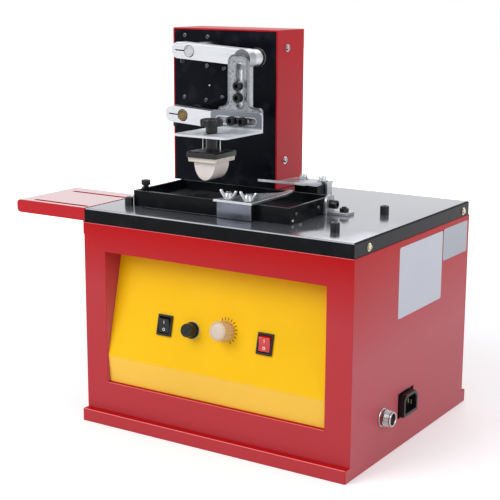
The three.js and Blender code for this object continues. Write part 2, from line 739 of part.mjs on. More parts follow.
// Swinging arms: each group has its origin on its shaft and its +X along the arm
const armGroup = (height) => {
  const group = place(shaftAt, 0, height);
  group.rotation.y = armDroop * Math.PI / 180;
  return group;
};
const upperArmGroup = armGroup(upperShaftHeight);
const lowerArmGroup = armGroup(lowerShaftHeight);
const armEnd = armHeight / 2;
const armOutline = () => rounded(-armTail - armEnd, armLength + armEnd, -armEnd, armEnd, armEnd - gap);
const armBlank = (front, back) => cut(
  plate(armOutline(), 'y', front, back, fineSteps),
  rod('y', shaftRadius + gap, front - overrun, back + overrun, 0, 0),
  rod('y', pinRadius + gap, front - overrun, back + overrun, armLength, 0, smallSides),
  box(slitInset - armTail - armEnd, 0, front - overrun, back + overrun, -slitHeight / 2, slitHeight / 2),
);
const lapFace = (linkFront + linkBack) / 2;
piece('upper_arm', armBlank(upperArmFront, upperArmBack), 'brushedAluminium', upperArmGroup);
piece('upper_pin', join(
  rod('y', pinRadius, lowerArmFront, upperArmBack + gap + pinHeadDepth, armLength, 0, smallSides),
  rod('y', pinHeadRadius, upperArmBack + gap, upperArmBack + gap + pinHeadDepth, armLength, 0),
), 'blackSteel', upperArmGroup);
piece('lower_arm', cut(
  armBlank(lowerArmFront, lowerArmBack),
  box(armLength - armLapLength, armLength + armEnd + overrun, lapFace - gap / 2, lowerArmBack + overrun,
    -armEnd - overrun, armEnd + overrun),
), 'brushedAluminium', lowerArmGroup);

// Link bar, upright between the two pivots, thinned at its lower end to lap over the lower arm
const droop = armDroop * Math.PI / 180;
const pivotAt = shaftAt + armLength * Math.cos(droop);
const upperPivot = upperShaftHeight - armLength * Math.sin(droop);
const lowerPivot = upperPivot - shaftSpacing;
const linkEnd = linkWidth / 2;
const screwPlaces = [heightScrewHeight - heightScrewSpacing / 2, heightScrewHeight + heightScrewSpacing / 2];
piece('link_bar', cut(
  join(
    box(pivotAt - linkWaist / 2, pivotAt + linkWaist / 2, linkFront, linkBack, lowerPivot, upperPivot),
    rod('y', linkEnd, linkFront, linkBack, pivotAt, upperPivot),
    rod('y', linkEnd, linkFront, linkBack, pivotAt, lowerPivot),
  ),
  box(pivotAt - linkWidth, pivotAt + linkWidth, linkFront - overrun, lapFace + gap / 2,
    lowerPivot - linkWidth, lowerPivot + linkDrop),
  rod('y', pinRadius + gap, linkFront - overrun, linkBack + overrun, pivotAt, upperPivot, smallSides),
  rod('y', pinRadius + gap, linkFront - overrun, linkBack + overrun, pivotAt, lowerPivot, smallSides),
  ...screwPlaces.map((z) => rod('y', screwRadius + gap, linkFront - overrun, linkBack - screwEnd + gap,
    pivotAt, z, smallSides)),
), 'brushedAluminium');
piece('lower_pin', rod('y', pinRadius, lowerArmFront, linkBack, pivotAt, lowerPivot, smallSides), 'steel');

// Height bracket: a cast neck and foot that slides down the link, held by two screws in its slot
const bracketBack = linkFront;
const bracketFront = bracketBack - bracketThickness;
const neckEnd = neckWidth / 2;
const footLow = footTop - footHeight;
const shiftScrews = [pivotAt - shiftScrewSpacing / 2, pivotAt + shiftScrewSpacing / 2];
const shiftScrewHeight = shiftPlateTop - shiftSlotDrop;
const footEnd = footWidth / 2;
const neckMiddle = pivotAt + neckShift;
const flareReach = neckEnd + footFlare;
piece('height_bracket', cut(
  join(
    plate(rounded(neckMiddle - neckEnd, neckMiddle + neckEnd, footLow, upperPivot + neckTop, neckEnd - footRadius),
      'y', bracketFront, bracketBack, fineSteps),
    plate(rounded(pivotAt - footEnd, pivotAt + footEnd, footLow, footTop, footRadius),
      'y', bracketFront, bracketBack),
    box(neckMiddle - flareReach, neckMiddle + flareReach, bracketFront, bracketBack,
      footTop - footRadius, footTop + footFlare),
  ),
  ...[neckMiddle - flareReach, neckMiddle + flareReach].map((x) => rod('y', footFlare,
    bracketFront - overrun, bracketBack + overrun, x, footTop + footFlare)),
  plate(rounded(pivotAt - slotWidth / 2, pivotAt + slotWidth / 2, lowerShaftHeight + heightSlotRise,
    upperShaftHeight - heightSlotDrop, slotWidth / 2 - gap), 'y',
  bracketFront - overrun, bracketBack + overrun),
  ...shiftScrews.map((x) => rod('y', screwRadius + gap, bracketFront - overrun, bracketBack + overrun,
    x, shiftScrewHeight, smallSides)),
), 'castAluminium');

// Socket head screws: a head on the face at front, and a shank that reaches back to end
const socketScrew = (name, front, end, x, z) => piece(name, cut(
  join(
    rod('y', screwHeadRadius, front - screwHeadLength, front, x, z),
    rod('y', screwRadius, front - screwHeadLength, end, x, z, smallSides),
  ),
  rod('y', screwSocketRadius, front - screwHeadLength - overrun, front - screwHeadLength / 2, x, z, hexSides),
), 'blackSteel');
screwPlaces.forEach((z, i) => {
  socketScrew(`height_screw_${i + 1}`, bracketFront, linkBack - screwEnd, pivotAt, z);
});

// Shift bracket: an angle plate under the foot, with a slot to set it sideways
const plateBack = bracketFront;
const plateFront = plateBack - shiftPlateThickness;
shiftScrews.forEach((x, i) => {
  socketScrew(`shift_screw_${i + 1}`, plateFront, bracketBack, x, shiftScrewHeight);
});
const plateMiddle = pivotAt + shiftOffset;
const plateLow = shiftPlateTop - shiftPlateHeight;
const shelfTop = plateLow + shiftPlateThickness;
const shelfFront = plateBack - shiftFlangeDepth;
const plateEdge = shiftPlateWidth / 2;
const depthSlot = (middle, width) => plate(rounded(middle - width / 2, middle + width / 2,
  shelfFront + depthSlotFront, shelfFront + depthSlotFront + depthSlotLength, width / 2 - gap),
'z', plateLow - overrun, shelfTop + overrun);
const guidePlaces = [plateMiddle - guideSpacing / 2, plateMiddle + guideSpacing / 2];
piece('shift_bracket', cut(
  join(
    plate(rounded(plateMiddle - plateEdge, plateMiddle + plateEdge, plateLow, shiftPlateTop,
      shiftCornerRadius), 'y', plateFront, plateBack),
    box(plateMiddle - plateEdge, plateMiddle + plateEdge, plateFront, plateBack, plateLow,
      plateLow + shiftCornerRadius),
    plate(rounded(plateMiddle - plateEdge, plateMiddle + plateEdge, shelfFront, plateBack, shiftCornerRadius),
      'z', plateLow, shelfTop),
    box(plateMiddle - plateEdge, plateMiddle + plateEdge, plateBack - shiftCornerRadius, plateBack,
      plateLow, shelfTop),
  ),
  plate(rounded(plateMiddle - shiftSlotLength / 2, plateMiddle + shiftSlotLength / 2,
    shiftScrewHeight - slotWidth / 2, shiftScrewHeight + slotWidth / 2, slotWidth / 2 - gap),
  'y', plateFront - overrun, plateBack + overrun),
  depthSlot(plateMiddle, slotWidth),
  ...guidePlaces.map((x) => depthSlot(x, 2 * (guideRadius + gap))),
), 'steel');

// Pad holder: a plate with a column and two guide rods that slide in the shelf's slots
const padDepthAt = shelfFront + padFromEdge;
const columnTop = plateLow - gap;
const holderTop = columnTop - columnHeight;
const holderLow = holderTop - holderHeight;
const knobLow = shelfTop + gap;
const neckTopHeight = knobLow + knobNeckHeight;
const knobTop = neckTopHeight + knobHeadHeight;
piece('pad_holder', join(
  box(plateMiddle - holderWidth / 2, plateMiddle + holderWidth / 2, padDepthAt - holderDepth / 2,
    padDepthAt + holderDepth / 2, holderLow, holderTop),
  rod('z', columnRadius, holderLow, columnTop, plateMiddle, padDepthAt),
  rod('z', studRadius, holderLow, neckTopHeight, plateMiddle, padDepthAt, smallSides),
  ...guidePlaces.map((x) => rod('z', guideRadius, holderLow, neckTopHeight - knobNeckHeight / 2,
    x, padDepthAt, smallSides)),
), 'blackSteel');
piece('pad_knob', cut(
  join(
    plate(ribbed(knobHeadRadius, knobHeadRibs, knobFluteDepth), 'z', 0, knobHeadHeight),
    rod('z', knobNeckRadius, -knobNeckHeight, knobHeadHeight, 0, 0),
  ),
  rod('z', studRadius + gap, -knobNeckHeight - overrun, gap, 0, 0, smallSides),
), 'blackPlastic', place(plateMiddle, padDepthAt, neckTopHeight));

// Printing pad: a block of silicone with a rounded underside, on a tapered wooden base
const baseLow = holderLow - padBaseHeight;
const baseWide = holderWidth / 2 - padBaseInset / 2;
const baseOutline = outline([
  [plateMiddle - baseWide + padBaseInset, baseLow], [plateMiddle + baseWide - padBaseInset, baseLow],
  [plateMiddle + baseWide, holderLow], [plateMiddle - baseWide, holderLow],
]);
piece('pad_base', plate(baseOutline, 'y', padDepthAt - baseWide, padDepthAt + baseWide), 'wood');
const padCurve = Array.from({ length: padSteps + 1 }, (_, i) => {
  const angle = Math.PI * i / padSteps;
  return [plateMiddle - padWidth / 2 * Math.cos(angle), baseLow - padHeight * Math.sin(angle)];
});
piece('printing_pad', plate(outline(padCurve), 'y', padDepthAt - padDepth / 2, padDepthAt + padDepth / 2),
  'silicone');

// Ink tray on the lid, its etched plate, and the screw and clip that hold it
const trayRight = trayLeft + trayWidth;
const trayBack = trayFront + trayDepth;
const trayTop = lidTop + trayHeight;
const bossAt = trayLeft + trayWall - thumbBossRadius;
const thumbPlace = trayFront + thumbAt;
const threadRadius = thumbBossRadius / 2;
piece('ink_tray', cut(
  join(
    box(trayLeft, trayRight, trayFront, trayBack, lidTop, trayTop),
    rod('z', thumbBossRadius, lidTop, trayTop, bossAt, thumbPlace),
  ),
  box(trayLeft + trayWall, trayRight - trayWall, trayFront + trayWall, trayBack - trayWall,
    lidTop + trayFloor, trayTop + overrun),
  rod('z', threadRadius + gap, lidTop + trayFloor, trayTop + overrun, bossAt, thumbPlace, smallSides),
), 'blackPaint');
piece('etched_plate', box(
  trayLeft + trayWall + plateInset, trayRight - trayWall - plateInset,
  trayFront + trayWall + plateInset, trayBack - trayWall - plateInset,
  lidTop + trayFloor, lidTop + trayFloor + plateThickness,
), 'etchedSteel');
piece('tray_screw', join(
  plate(ribbed(thumbRadius, knobFlutes, knobFluteDepth), 'z', gap + thumbNeckHeight,
    gap + thumbNeckHeight + thumbHeadHeight),
  rod('z', thumbNeckRadius, gap, gap + thumbNeckHeight + thumbHeadHeight, 0, 0, smallSides),
  rod('z', threadRadius, gap + trayFloor - trayHeight / 2, gap + thumbNeckHeight, 0, 0, smallSides),
), 'blackPlastic', place(bossAt, thumbPlace, trayTop));
const earMiddle = trayBack - earAt;
piece('tray_clip', join(
  rod('x', earRadius, trayRight, trayRight + earThickness, earMiddle, lidTop + earHeight),
  box(trayRight, trayRight + earThickness, earMiddle - earRadius, earMiddle + earRadius,
    lidTop, lidTop + earHeight),
  box(trayRight, trayRight + earThickness + earFootLength, earMiddle - earFootDepth / 2,
    earMiddle + earFootDepth / 2, lidTop, lidTop + earThickness),
), 'steel');

// Rails under the lid, their end supports, and the capped bolts that hold the supports
const railHeight = lidTop - railDrop;
const supportLow = railHeight - supportDrop;
[['left', railInset], ['right', railRight]].forEach(([side, x], end) => {
  piece(`${side}_rail_support`, cut(
    box(x - supportWidth / 2, x + supportWidth / 2, railFront - supportMargin, railBack + supportMargin,
      supportLow, lidUnder),
    box(x - supportWidth, x + supportWidth, railFront + supportMargin, railBack - supportMargin,
      supportLow - overrun, lidUnder - supportBridge),
    ...[railFront, railBack].flatMap((y) => [
      rod('x', railRadius + gap, x - supportWidth, x + supportWidth, y, railHeight),
      rod('z', postStemRadius + gap, lidTop - postStemLength - gap, lidTop, x, y, smallSides),
    ]),
  ), 'blackSteel');
  [railFront, railBack].forEach((y, i) => piece(`rail_bolt_${2 * end + i + 1}`, join(
    rod('z', postRadius, lidTop, lidTop + postHeight, x, y),
    rod('z', postStemRadius, lidTop - postStemLength, lidTop + postHeight / 2, x, y, smallSides),
  ), 'blackPlastic'));
});
[['front', railFront], ['rear', railBack]].forEach(([side, y]) => piece(`${side}_rail`,
  rod('x', railRadius, railInset - supportWidth / 2, railRight + supportWidth / 2, y, railHeight), 'steel'));

// Carriage: two sliding blocks, the plate between them, and the rack under that plate
const carriageTop = railHeight + carriageHeight / 2;
const carriageLow = railHeight - carriageHeight / 2;
const carriageLeft = cupCentre - carriageWidth / 2;
const carriageRight = cupCentre + carriageWidth / 2;
const rackPitchLine = rackFront + rackWidth;
const toothPitch = Math.PI * toothModule;
const rackLeft = drivePinionAt - rackLead;
const rackRight = drivePinionAt + carriageTravel + rackLead;
const bridgeLow = carriageLow + bridgeThickness;
const rackOutline = () => {
  const reach = toothModule * Math.tan(pressure);
  const half = toothPitch / 4 - backlash / 4;
  const points = [[rackLeft, rackFront], [rackRight, rackFront]];
  const count = Math.floor((rackRight - drivePinionAt) / toothPitch);
  const first = -Math.floor((drivePinionAt - rackLeft) / toothPitch);
  points.push([rackRight, rackPitchLine - rootShare * toothModule]);
  for (let tooth = count - 1; tooth >= first; tooth -= 1) {
    const middle = drivePinionAt + tooth * toothPitch + toothPitch / 2;
    points.push(
      [middle + half + rootShare * reach, rackPitchLine - rootShare * toothModule],
      [middle + half - reach, rackPitchLine + toothModule],
      [middle - half + reach, rackPitchLine + toothModule],
      [middle - half - rootShare * reach, rackPitchLine - rootShare * toothModule],
    );
  }
  points.push([rackLeft, rackPitchLine - rootShare * toothModule]);
  return outline(points);
};
const slider = (y) => box(carriageLeft, carriageRight, y - carriageHeight / 2, y + carriageHeight / 2,
  carriageLow, carriageTop);
piece('carriage_frame', cut(
  join(
    slider(railFront),
    slider(railBack),
    box(carriageLeft, carriageRight, railFront, railBack, bridgeLow, bridgeLow + bridgeThickness),
    plate(rackOutline(), 'z', bridgeLow - rackHeight, bridgeLow),
  ),
  ...[railFront, railBack].map((y) => rod('x', railRadius + gap, carriageLeft - overrun,
    carriageRight + overrun, y, railHeight)),
), 'brushedAluminium');

// Brackets that come up through the lid's slots and carry the two cup arms
const bracketTop = trayTop + cupBracketLift;
const studs = (middle) => [middle - studSpacing / 2, middle + studSpacing / 2];
const frontStuds = studs(frontArmMiddle + studShift);
const stem = (middle, y) => box(middle - stemWidth / 2, middle + stemWidth / 2, y - stemDepth / 2,
  y + stemDepth / 2, carriageTop, lidTop + lidHeight / 2);
piece('front_cup_bracket', join(
  box(frontArmMiddle - cupBracketWidth / 2, frontArmMiddle + cupBracketWidth / 2,
    bracketMiddle - cupBracketDepth / 2, bracketMiddle + cupBracketDepth / 2, lidTop + gap, bracketTop),
  stem(frontArmMiddle, bracketMiddle),
  ...frontStuds.map((x) => rod('z', wingStudRadius, bracketTop - wingStudHeight,
    bracketTop + cupArmThickness + wingStudHeight, x, bracketMiddle, smallSides)),
), 'steel');
const rearTop = bracketTop + rearBlockRise;
const rearBlockBack = rearBlockFront + rearBlockDepth;
piece('rear_cup_block', join(
  box(rearBlockMiddle - rearBlockWidth / 2, rearBlockMiddle + rearBlockWidth / 2, rearBlockFront,
    rearBlockBack, lidTop + gap, rearTop),
  stem(rearBlockMiddle, railBack),
), 'blackPaint');

// Cup arms: tapered plates; each is drawn with its base to the front and its straight edge to the right
const cupArm = (profile, length, sweep, holeDepth, holeMiddle) => {
  const edge = cupArmWidth / 2;
  const taper = [...cupArmShares].reverse().map(([wide, long]) => [
    edge - wide * cupArmWidth + sweep * long, long * length]);
  return cut(
    plate(outline([[-edge, 0], [edge, 0], [edge + sweep, length], ...taper]), 'z', -overrun, length)
      .intersect(plate(outline(profile), 'x', -cupArmWidth, cupArmWidth)),
    ...studs(holeMiddle).map((x) => rod('z', wingStudRadius + gap, -overrun, cupArmThickness + overrun,
      x, holeDepth, smallSides)),
  );
};
const raised = (profile, thickness) => (
  profile.concat([...profile].reverse().map(([y, z]) => [y, z + thickness]))
);
const frontProfile = raised(
  [[0, 0], [frontArmLength - cupArmCurl, 0], [frontArmLength, cupArmRise]], cupArmThickness);
piece('front_cup_arm', cupArm(frontProfile, frontArmLength, 0, frontArmLead, studShift), 'steel',
  place(frontArmMiddle, bracketMiddle - frontArmLead, bracketTop));

// The rear arm is turned half round, so its right end on the machine is its left end as drawn
const rearRise = (rearArmLength - rearArmFlat) * Math.tan(rearArmTilt * Math.PI / 180);
const rearProfile = raised([[0, 0], [rearArmFlat, 0], [rearArmLength, rearRise]], cupArmThickness);
const rearArmPlace = place(rearArmMiddle, rearBlockBack + rearArmLead, rearTop);
rearArmPlace.rotation.z = Math.PI;
piece('rear_cup_arm', join(
  cupArm(rearProfile, rearArmLength, rearArmSweep, rearArmLead + rearBoltAt, -studShift),
  box(-cupArmWidth / 2, cupArmThickness - cupArmWidth / 2, rearArmLead, rearArmLead + rearTabWidth,
    -rearTabDrop, cupArmThickness),
), 'steel', rearArmPlace);

// Wing nuts on the front studs
const wingBase = bracketTop + cupArmThickness + gap;
frontStuds.forEach((x, i) => {
  const nut = place(x, bracketMiddle, wingBase);
  nut.rotation.z = [leftWingTurn, rightWingTurn][i] * Math.PI / 180;
  const hub = wingHubRadius - wingThickness / 2;
  piece(`wing_nut_${i + 1}`, cut(
    join(
      rod('z', wingHubRadius, 0, wingHubHeight, 0, 0, smallSides),
      plate(outline([
        [-hub, 0], [hub, 0], [wingSpan / 2, wingHeight / 2], [wingSpan / 2, wingHeight],
        [wingSpan / 2 - wingHubRadius, wingHeight], [hub, wingHubHeight],
        [-hub, wingHubHeight], [wingHubRadius - wingSpan / 2, wingHeight], [-wingSpan / 2, wingHeight],
        [-wingSpan / 2, wingHeight / 2],
      ]), 'y', -wingThickness / 2, wingThickness / 2),
    ),
    rod('z', wingStudRadius + gap, -overrun, wingHeight + overrun, 0, 0, smallSides),
  ), 'steel', nut);
});

// Carriage drive: a motor hung from the lid on a bent stand, and the pinion under the rack's plate
const drivePinionDepth = rackPitchLine + pitchRadius(drivePinionTeeth);
const rackLow = bridgeLow - rackHeight;
const shelfHeight = rackLow - motorClear;
const shelfLow = shelfHeight - standThickness;
const standFront = railBack + supportMargin + motorClear;
const standLeft = drivePinionAt - standWidth / 2;
const standRight = drivePinionAt + standWidth / 2;
piece('drive_pinion', join(
  plate(gear(drivePinionTeeth), 'z', rackLow, bridgeLow - gap),
  rod('z', motorShaftRadius, shelfLow - motorBore + gap, rackLow + rackHeight / 2, 0, 0, smallSides),
), 'steel', place(drivePinionAt, drivePinionDepth, 0));
piece('drive_motor', cut(
  join(
    rod('z', motorRadius, shelfLow - driveMotorLength, shelfLow, drivePinionAt, drivePinionDepth),
    box(standLeft, standRight, drivePinionDepth - motorRadius, standFront + standThickness,
      shelfLow, shelfHeight),
    box(standLeft, standRight, standFront, standFront + standThickness, shelfLow, lidUnder),
    box(standLeft, standRight, standFront, standFront + standFootDepth, lidUnder - standThickness, lidUnder),
  ),
  rod('z', motorShaftRadius + gap, shelfLow - motorBore, shelfHeight + overrun,
    drivePinionAt, drivePinionDepth, smallSides),
), 'blackSteel');

// Control board on four legs in the plinth
const legTop = plinthWall + boardLegHeight;
const boardLeft = caseWidth - boardRightMargin - boardWidth;
const boardFront = caseDepth - boardBackMargin - boardDepth;
piece('control_board', join(
  box(boardLeft, boardLeft + boardWidth, boardFront, boardFront + boardDepth,
    legTop, legTop + boardThickness),
  ...[boardLeft, boardLeft + boardWidth - boardLegWidth].flatMap((x) => (
    [boardFront, boardFront + boardDepth - boardLegWidth].map((y) => (
      box(x, x + boardLegWidth, y, y + boardLegWidth, plinthWall, legTop + boardThickness)
    ))
  )),
), 'greenBoard');

export default machine;
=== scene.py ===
# The machine stands on a plain pale floor in soft studio light, with the camera where the photograph
# was taken from. The finished frame is loaded first, and every piece below is made around it.
import json
import math

import bmesh
import bpy
from mathutils import Matrix, Vector

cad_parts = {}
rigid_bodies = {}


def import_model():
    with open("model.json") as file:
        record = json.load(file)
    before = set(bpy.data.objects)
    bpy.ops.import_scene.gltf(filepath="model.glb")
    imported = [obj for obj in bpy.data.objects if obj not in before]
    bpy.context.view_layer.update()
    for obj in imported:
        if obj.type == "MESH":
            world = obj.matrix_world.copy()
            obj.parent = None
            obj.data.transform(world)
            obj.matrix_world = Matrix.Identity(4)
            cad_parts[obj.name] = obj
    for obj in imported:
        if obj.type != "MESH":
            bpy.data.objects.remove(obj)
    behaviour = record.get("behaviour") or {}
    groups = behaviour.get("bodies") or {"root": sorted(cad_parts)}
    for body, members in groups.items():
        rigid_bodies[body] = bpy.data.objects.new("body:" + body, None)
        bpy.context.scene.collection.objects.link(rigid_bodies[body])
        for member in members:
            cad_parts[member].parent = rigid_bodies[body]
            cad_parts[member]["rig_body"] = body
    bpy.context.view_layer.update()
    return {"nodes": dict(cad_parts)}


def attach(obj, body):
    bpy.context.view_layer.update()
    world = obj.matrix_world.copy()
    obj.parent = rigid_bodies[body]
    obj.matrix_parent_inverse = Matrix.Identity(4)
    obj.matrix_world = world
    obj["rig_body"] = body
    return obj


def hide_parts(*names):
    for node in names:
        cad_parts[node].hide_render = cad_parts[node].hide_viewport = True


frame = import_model()
nodes = frame["nodes"]
mm = 0.001


def in_scene(name, data):
    """A new object that stands in the scene."""
    thing = bpy.data.objects.new(name, data)
    bpy.context.scene.collection.objects.link(thing)
    return thing


photo_width = 500
sensor_width = 36
focal_pixels = 1222.1
camera_place = Vector((621.6, -1031.2, 436.2)) * mm
camera_yaw, camera_pitch, camera_roll = (math.radians(a) for a in (32.53, -12.47, 0.26))
lens = bpy.data.cameras.new("camera")
lens.sensor_width = sensor_width
lens.lens = focal_pixels / photo_width * sensor_width
lens.clip_start, lens.clip_end = 0.01, 50
camera = in_scene("camera", lens)
camera.matrix_world = (
    Matrix.Translation(camera_place)
    @ Matrix.Rotation(camera_yaw, 4, "Z")
    @ Matrix.Rotation(math.pi / 2 + camera_pitch, 4, "X")
    @ Matrix.Rotation(camera_roll, 4, "Z")
)
bpy.context.scene.camera = camera
bpy.context.scene.view_settings.view_transform = "Standard"


def fill(tree, sockets, values):
    """Feeds sockets, by title or number, with another node's output or with a plain value."""
    for title, value in values.items():
        if hasattr(value, "is_output"):
            tree.links.new(value, sockets[title])
        else:
            sockets[title].default_value = value


def add_node(tree, kind, values=None, **settings):
    node = tree.nodes.new(kind)
    for setting, choice in settings.items():
        setattr(node, setting, choice)
    fill(tree, node.inputs, values or {})
    return node


def calculate(tree, operation, first, second=0.0):
    return add_node(tree, "ShaderNodeMath", {0: first, 1: second}, operation=operation).outputs[0]


def remap(tree, source, low, high, from_low=0.3, from_high=0.7):
    return add_node(tree, "ShaderNodeMapRange", {
        "Value": source, "From Min": from_low, "From Max": from_high, "To Min": low, "To Max": high,
    }).outputs["Result"]


def seen_share(tree):
    """1 for what the camera sees, straight or by way of gloss or glass, and 0 for light on the object."""
    rays = add_node(tree, "ShaderNodeLightPath").outputs
    mirrored = calculate(tree, "MAXIMUM", rays["Is Glossy Ray"], rays["Is Transmission Ray"])
    return calculate(tree, "MAXIMUM", rays["Is Camera Ray"], mirrored)


def object_place(tree):
    return add_node(tree, "ShaderNodeTexCoord").outputs["Object"]


# The room: white to the camera and in reflections, and a softer grey as light
world = bpy.data.worlds.new("studio")
bpy.context.scene.world = world
world.use_nodes = True
air = world.node_tree
air.nodes.clear()
lighting = add_node(air, "ShaderNodeBackground", {"Color": (0.94, 0.96, 1, 1), "Strength": 0.5})
shown = add_node(air, "ShaderNodeBackground", {"Color": (1, 1, 1, 1)})
sky = add_node(air, "ShaderNodeMixShader", {
    0: seen_share(air), 1: lighting.outputs[0], 2: shown.outputs[0]})
add_node(air, "ShaderNodeOutputWorld", {"Surface": sky.outputs[0]})

# Three soft boxes: a large one from the upper left front, a weaker one from the right, one from behind
soft_boxes = {
    "front_box": ((-0.9, -1.5, 1.5), 1.5, 27),
    "right_box": ((1.7, -0.4, 0.9), 1.2, 9.5),
    "back_box": ((-0.3, 1.6, 1.5), 1.2, 9),
}
aim = Vector((0, 0, 0.17))
for box_name, (spot, size, power) in soft_boxes.items():
    lamp = bpy.data.lights.new(box_name, "AREA")
    lamp.size = size
    lamp.energy = power
    holder = in_scene(box_name, lamp)
    holder.location = spot
    holder.rotation_euler = (aim - Vector(spot)).to_track_quat("-Z", "Y").to_euler()

floor_reach = 6
floor_corners = [(x * floor_reach, y * floor_reach, 0) for x, y in ((-1, -1), (1, -1), (1, 1), (-1, 1))]
floor_mesh = bpy.data.meshes.new("floor")
floor_mesh.from_pydata(floor_corners, [], [(0, 1, 2, 3)])
floor = in_scene("floor", floor_mesh)
paper = bpy.data.materials.new("pale_paper")
paper.use_nodes = True
paper_tree = paper.node_tree
near_glow, far_glow = 0.3, 1.0
near_edge, far_edge = 0.45, 1.6
from_middle = add_node(paper_tree, "ShaderNodeVectorMath", {0: object_place(paper_tree)}, operation="LENGTH")
glow = remap(paper_tree, from_middle.outputs["Value"], near_glow, far_glow, near_edge, far_edge)
fill(paper_tree, paper_tree.nodes["Principled BSDF"].inputs, {
    "Base Color": (0.9, 0.9, 0.9, 1), "Roughness": 0.9, "Specular IOR Level": 0,
    "Emission Color": (1, 1, 1, 1),
    "Emission Strength": calculate(paper_tree, "MULTIPLY", glow, seen_share(paper_tree))})
floor_mesh.materials.append(paper)


# Base plinth and case: folded steel sheet, powder coated red after welding. The coat is a little
# glossy, slightly uneven, and lies round over every folded edge. The case stands on the plinth's ledge.
def new_group(name, inputs, outputs):
    """A shader group; an input's kind follows from its first value."""
    group = bpy.data.node_groups.new(name, "ShaderNodeTree")
    for title, value in inputs.items():
        kind = {3: "Vector", 4: "Color"}[len(value)] if isinstance(value, tuple) else "Float"
        socket = group.interface.new_socket(title, in_out="INPUT", socket_type="NodeSocket" + kind)
        socket.default_value = value
    for title, kind in outputs.items():
        group.interface.new_socket(title, in_out="OUTPUT", socket_type="NodeSocket" + kind)
    return group, add_node(group, "NodeGroupInput").outputs, add_node(group, "NodeGroupOutput").inputs


def noise(tree, place, scale, detail=2.0):
    values = {"Vector": place, "Scale": scale, "Detail": detail}
    return add_node(tree, "ShaderNodeTexNoise", values).outputs["Fac"]


def blend_colours(tree, amount, first, second, mode="MIX"):
    colours = {"Factor": amount, 6: first, 7: second}
    return add_node(tree, "ShaderNodeMix", colours, data_type="RGBA", blend_type=mode).outputs[2]


def stretched(tree, stretch):
    """Object coordinates, drawn out along an axis by a vector."""
    sides = {0: object_place(tree), 1: stretch}
    return add_node(tree, "ShaderNodeVectorMath", sides, operation="MULTIPLY").outputs[0]


# Uneven tone: a slow drift of colour and gloss, drawn out along an axis where the metal is brushed
uneven, given, made = new_group(
    "uneven_tone",
    {"Colour": (1, 1, 1, 1), "Roughness": 0.4, "Drift": 0.05, "Gloss Drift": 0.1, "Size": 20.0,
     "Stretch": (1, 1, 1)},
    {"Colour": "Color", "Roughness": "Float"})
drift = noise(uneven, stretched(uneven, given["Stretch"]), given["Size"], 4.0)
shade, gloss = (
    remap(uneven, drift, *(calculate(uneven, way, 1.0, given[title]) for way in ("SUBTRACT", "ADD")))
    for title in ("Drift", "Gloss Drift"))
grey = add_node(uneven, "ShaderNodeCombineColor", {channel: shade for channel in range(3)})
fill(uneven, made, {
    "Colour": blend_colours(uneven, 1.0, given["Colour"], grey.outputs[0], "MULTIPLY"),
    "Roughness": calculate(uneven, "MULTIPLY", given["Roughness"], gloss)})

# Fine skin: the small waves of a powder coat, the grain of brushed metal, the pores of a casting
skin, given, made = new_group(
    "fine_skin", {"Size": 900.0, "Depth": 0.00002, "Stretch": (1, 1, 1)}, {"Normal": "Vector"})
waves = noise(skin, stretched(skin, given["Stretch"]), given["Size"], 3.0)
bump = add_node(skin, "ShaderNodeBump", {
    "Distance": 1, "Height": calculate(skin, "MULTIPLY", waves, given["Depth"])})
fill(skin, made, {"Normal": bump.outputs["Normal"]})

# Painted light: a painted sheen, highlight or shade laid into the colour of the faces turned one way, on an
# edge or up to a height, standing in for light on gloss. With its two heights the other way round, it lies
# above them.
painted_light_group, given, made = new_group(
    "painted_sheen_and_shade",
    {"Colour": (0, 0, 0, 1), "Pale Colour": (1, 1, 1, 1), "Amount": 0.5, "Toward": (0, 0, 1), "Spread": 0.5,
     "Full Below": 8.0, "None Above": 9.0},
    {"Colour": "Color"})
veil_normal = add_node(painted_light_group, "ShaderNodeNewGeometry").outputs["Normal"]
facing = add_node(painted_light_group, "ShaderNodeVectorMath", {0: veil_normal, 1: given["Toward"]},
                  operation="DOT_PRODUCT")
turned_there = remap(painted_light_group, facing.outputs["Value"], 0.0, 1.0, given["Spread"], 1.0)
veil_height = add_node(painted_light_group, "ShaderNodeSeparateXYZ", {0: object_place(painted_light_group)}).outputs["Z"]
low_enough = remap(painted_light_group, veil_height, 1.0, 0.0, given["Full Below"], given["None Above"])
share = calculate(painted_light_group, "MULTIPLY", given["Amount"], calculate(painted_light_group, "MULTIPLY", turned_there, low_enough))
fill(painted_light_group, made, {"Colour": blend_colours(painted_light_group, share, given["Colour"], given["Pale Colour"])})

# Dust and rubbed spots: pale specks and cloudy smears that dull a dark surface
dust, given, made = new_group(
    "dust",
    {"Colour": (0, 0, 0, 1), "Roughness": 0.4, "Dust Colour": (0.3, 0.3, 0.3, 1), "Amount": 0.3,
     "Size": 60.0},
    {"Colour": "Color", "Roughness": "Float"})
flat_place = stretched(dust, (1, 1, 1))
clouds = remap(dust, noise(dust, flat_place, given["Size"], 5.0), 0.0, 1.0, 0.52, 0.75)
speck_size = calculate(dust, "MULTIPLY", given["Size"], 14.0)
specks = remap(dust, noise(dust, flat_place, speck_size, 1.0), 0.0, 1.0, 0.68, 0.74)
cover = calculate(dust, "MULTIPLY", given["Amount"], calculate(dust, "MAXIMUM", clouds, specks))
fill(dust, made, {
    "Colour": blend_colours(dust, cover, given["Colour"], given["Dust Colour"]),
    "Roughness": calculate(dust, "ADD", given["Roughness"], calculate(dust, "MULTIPLY", cover, 0.4))})


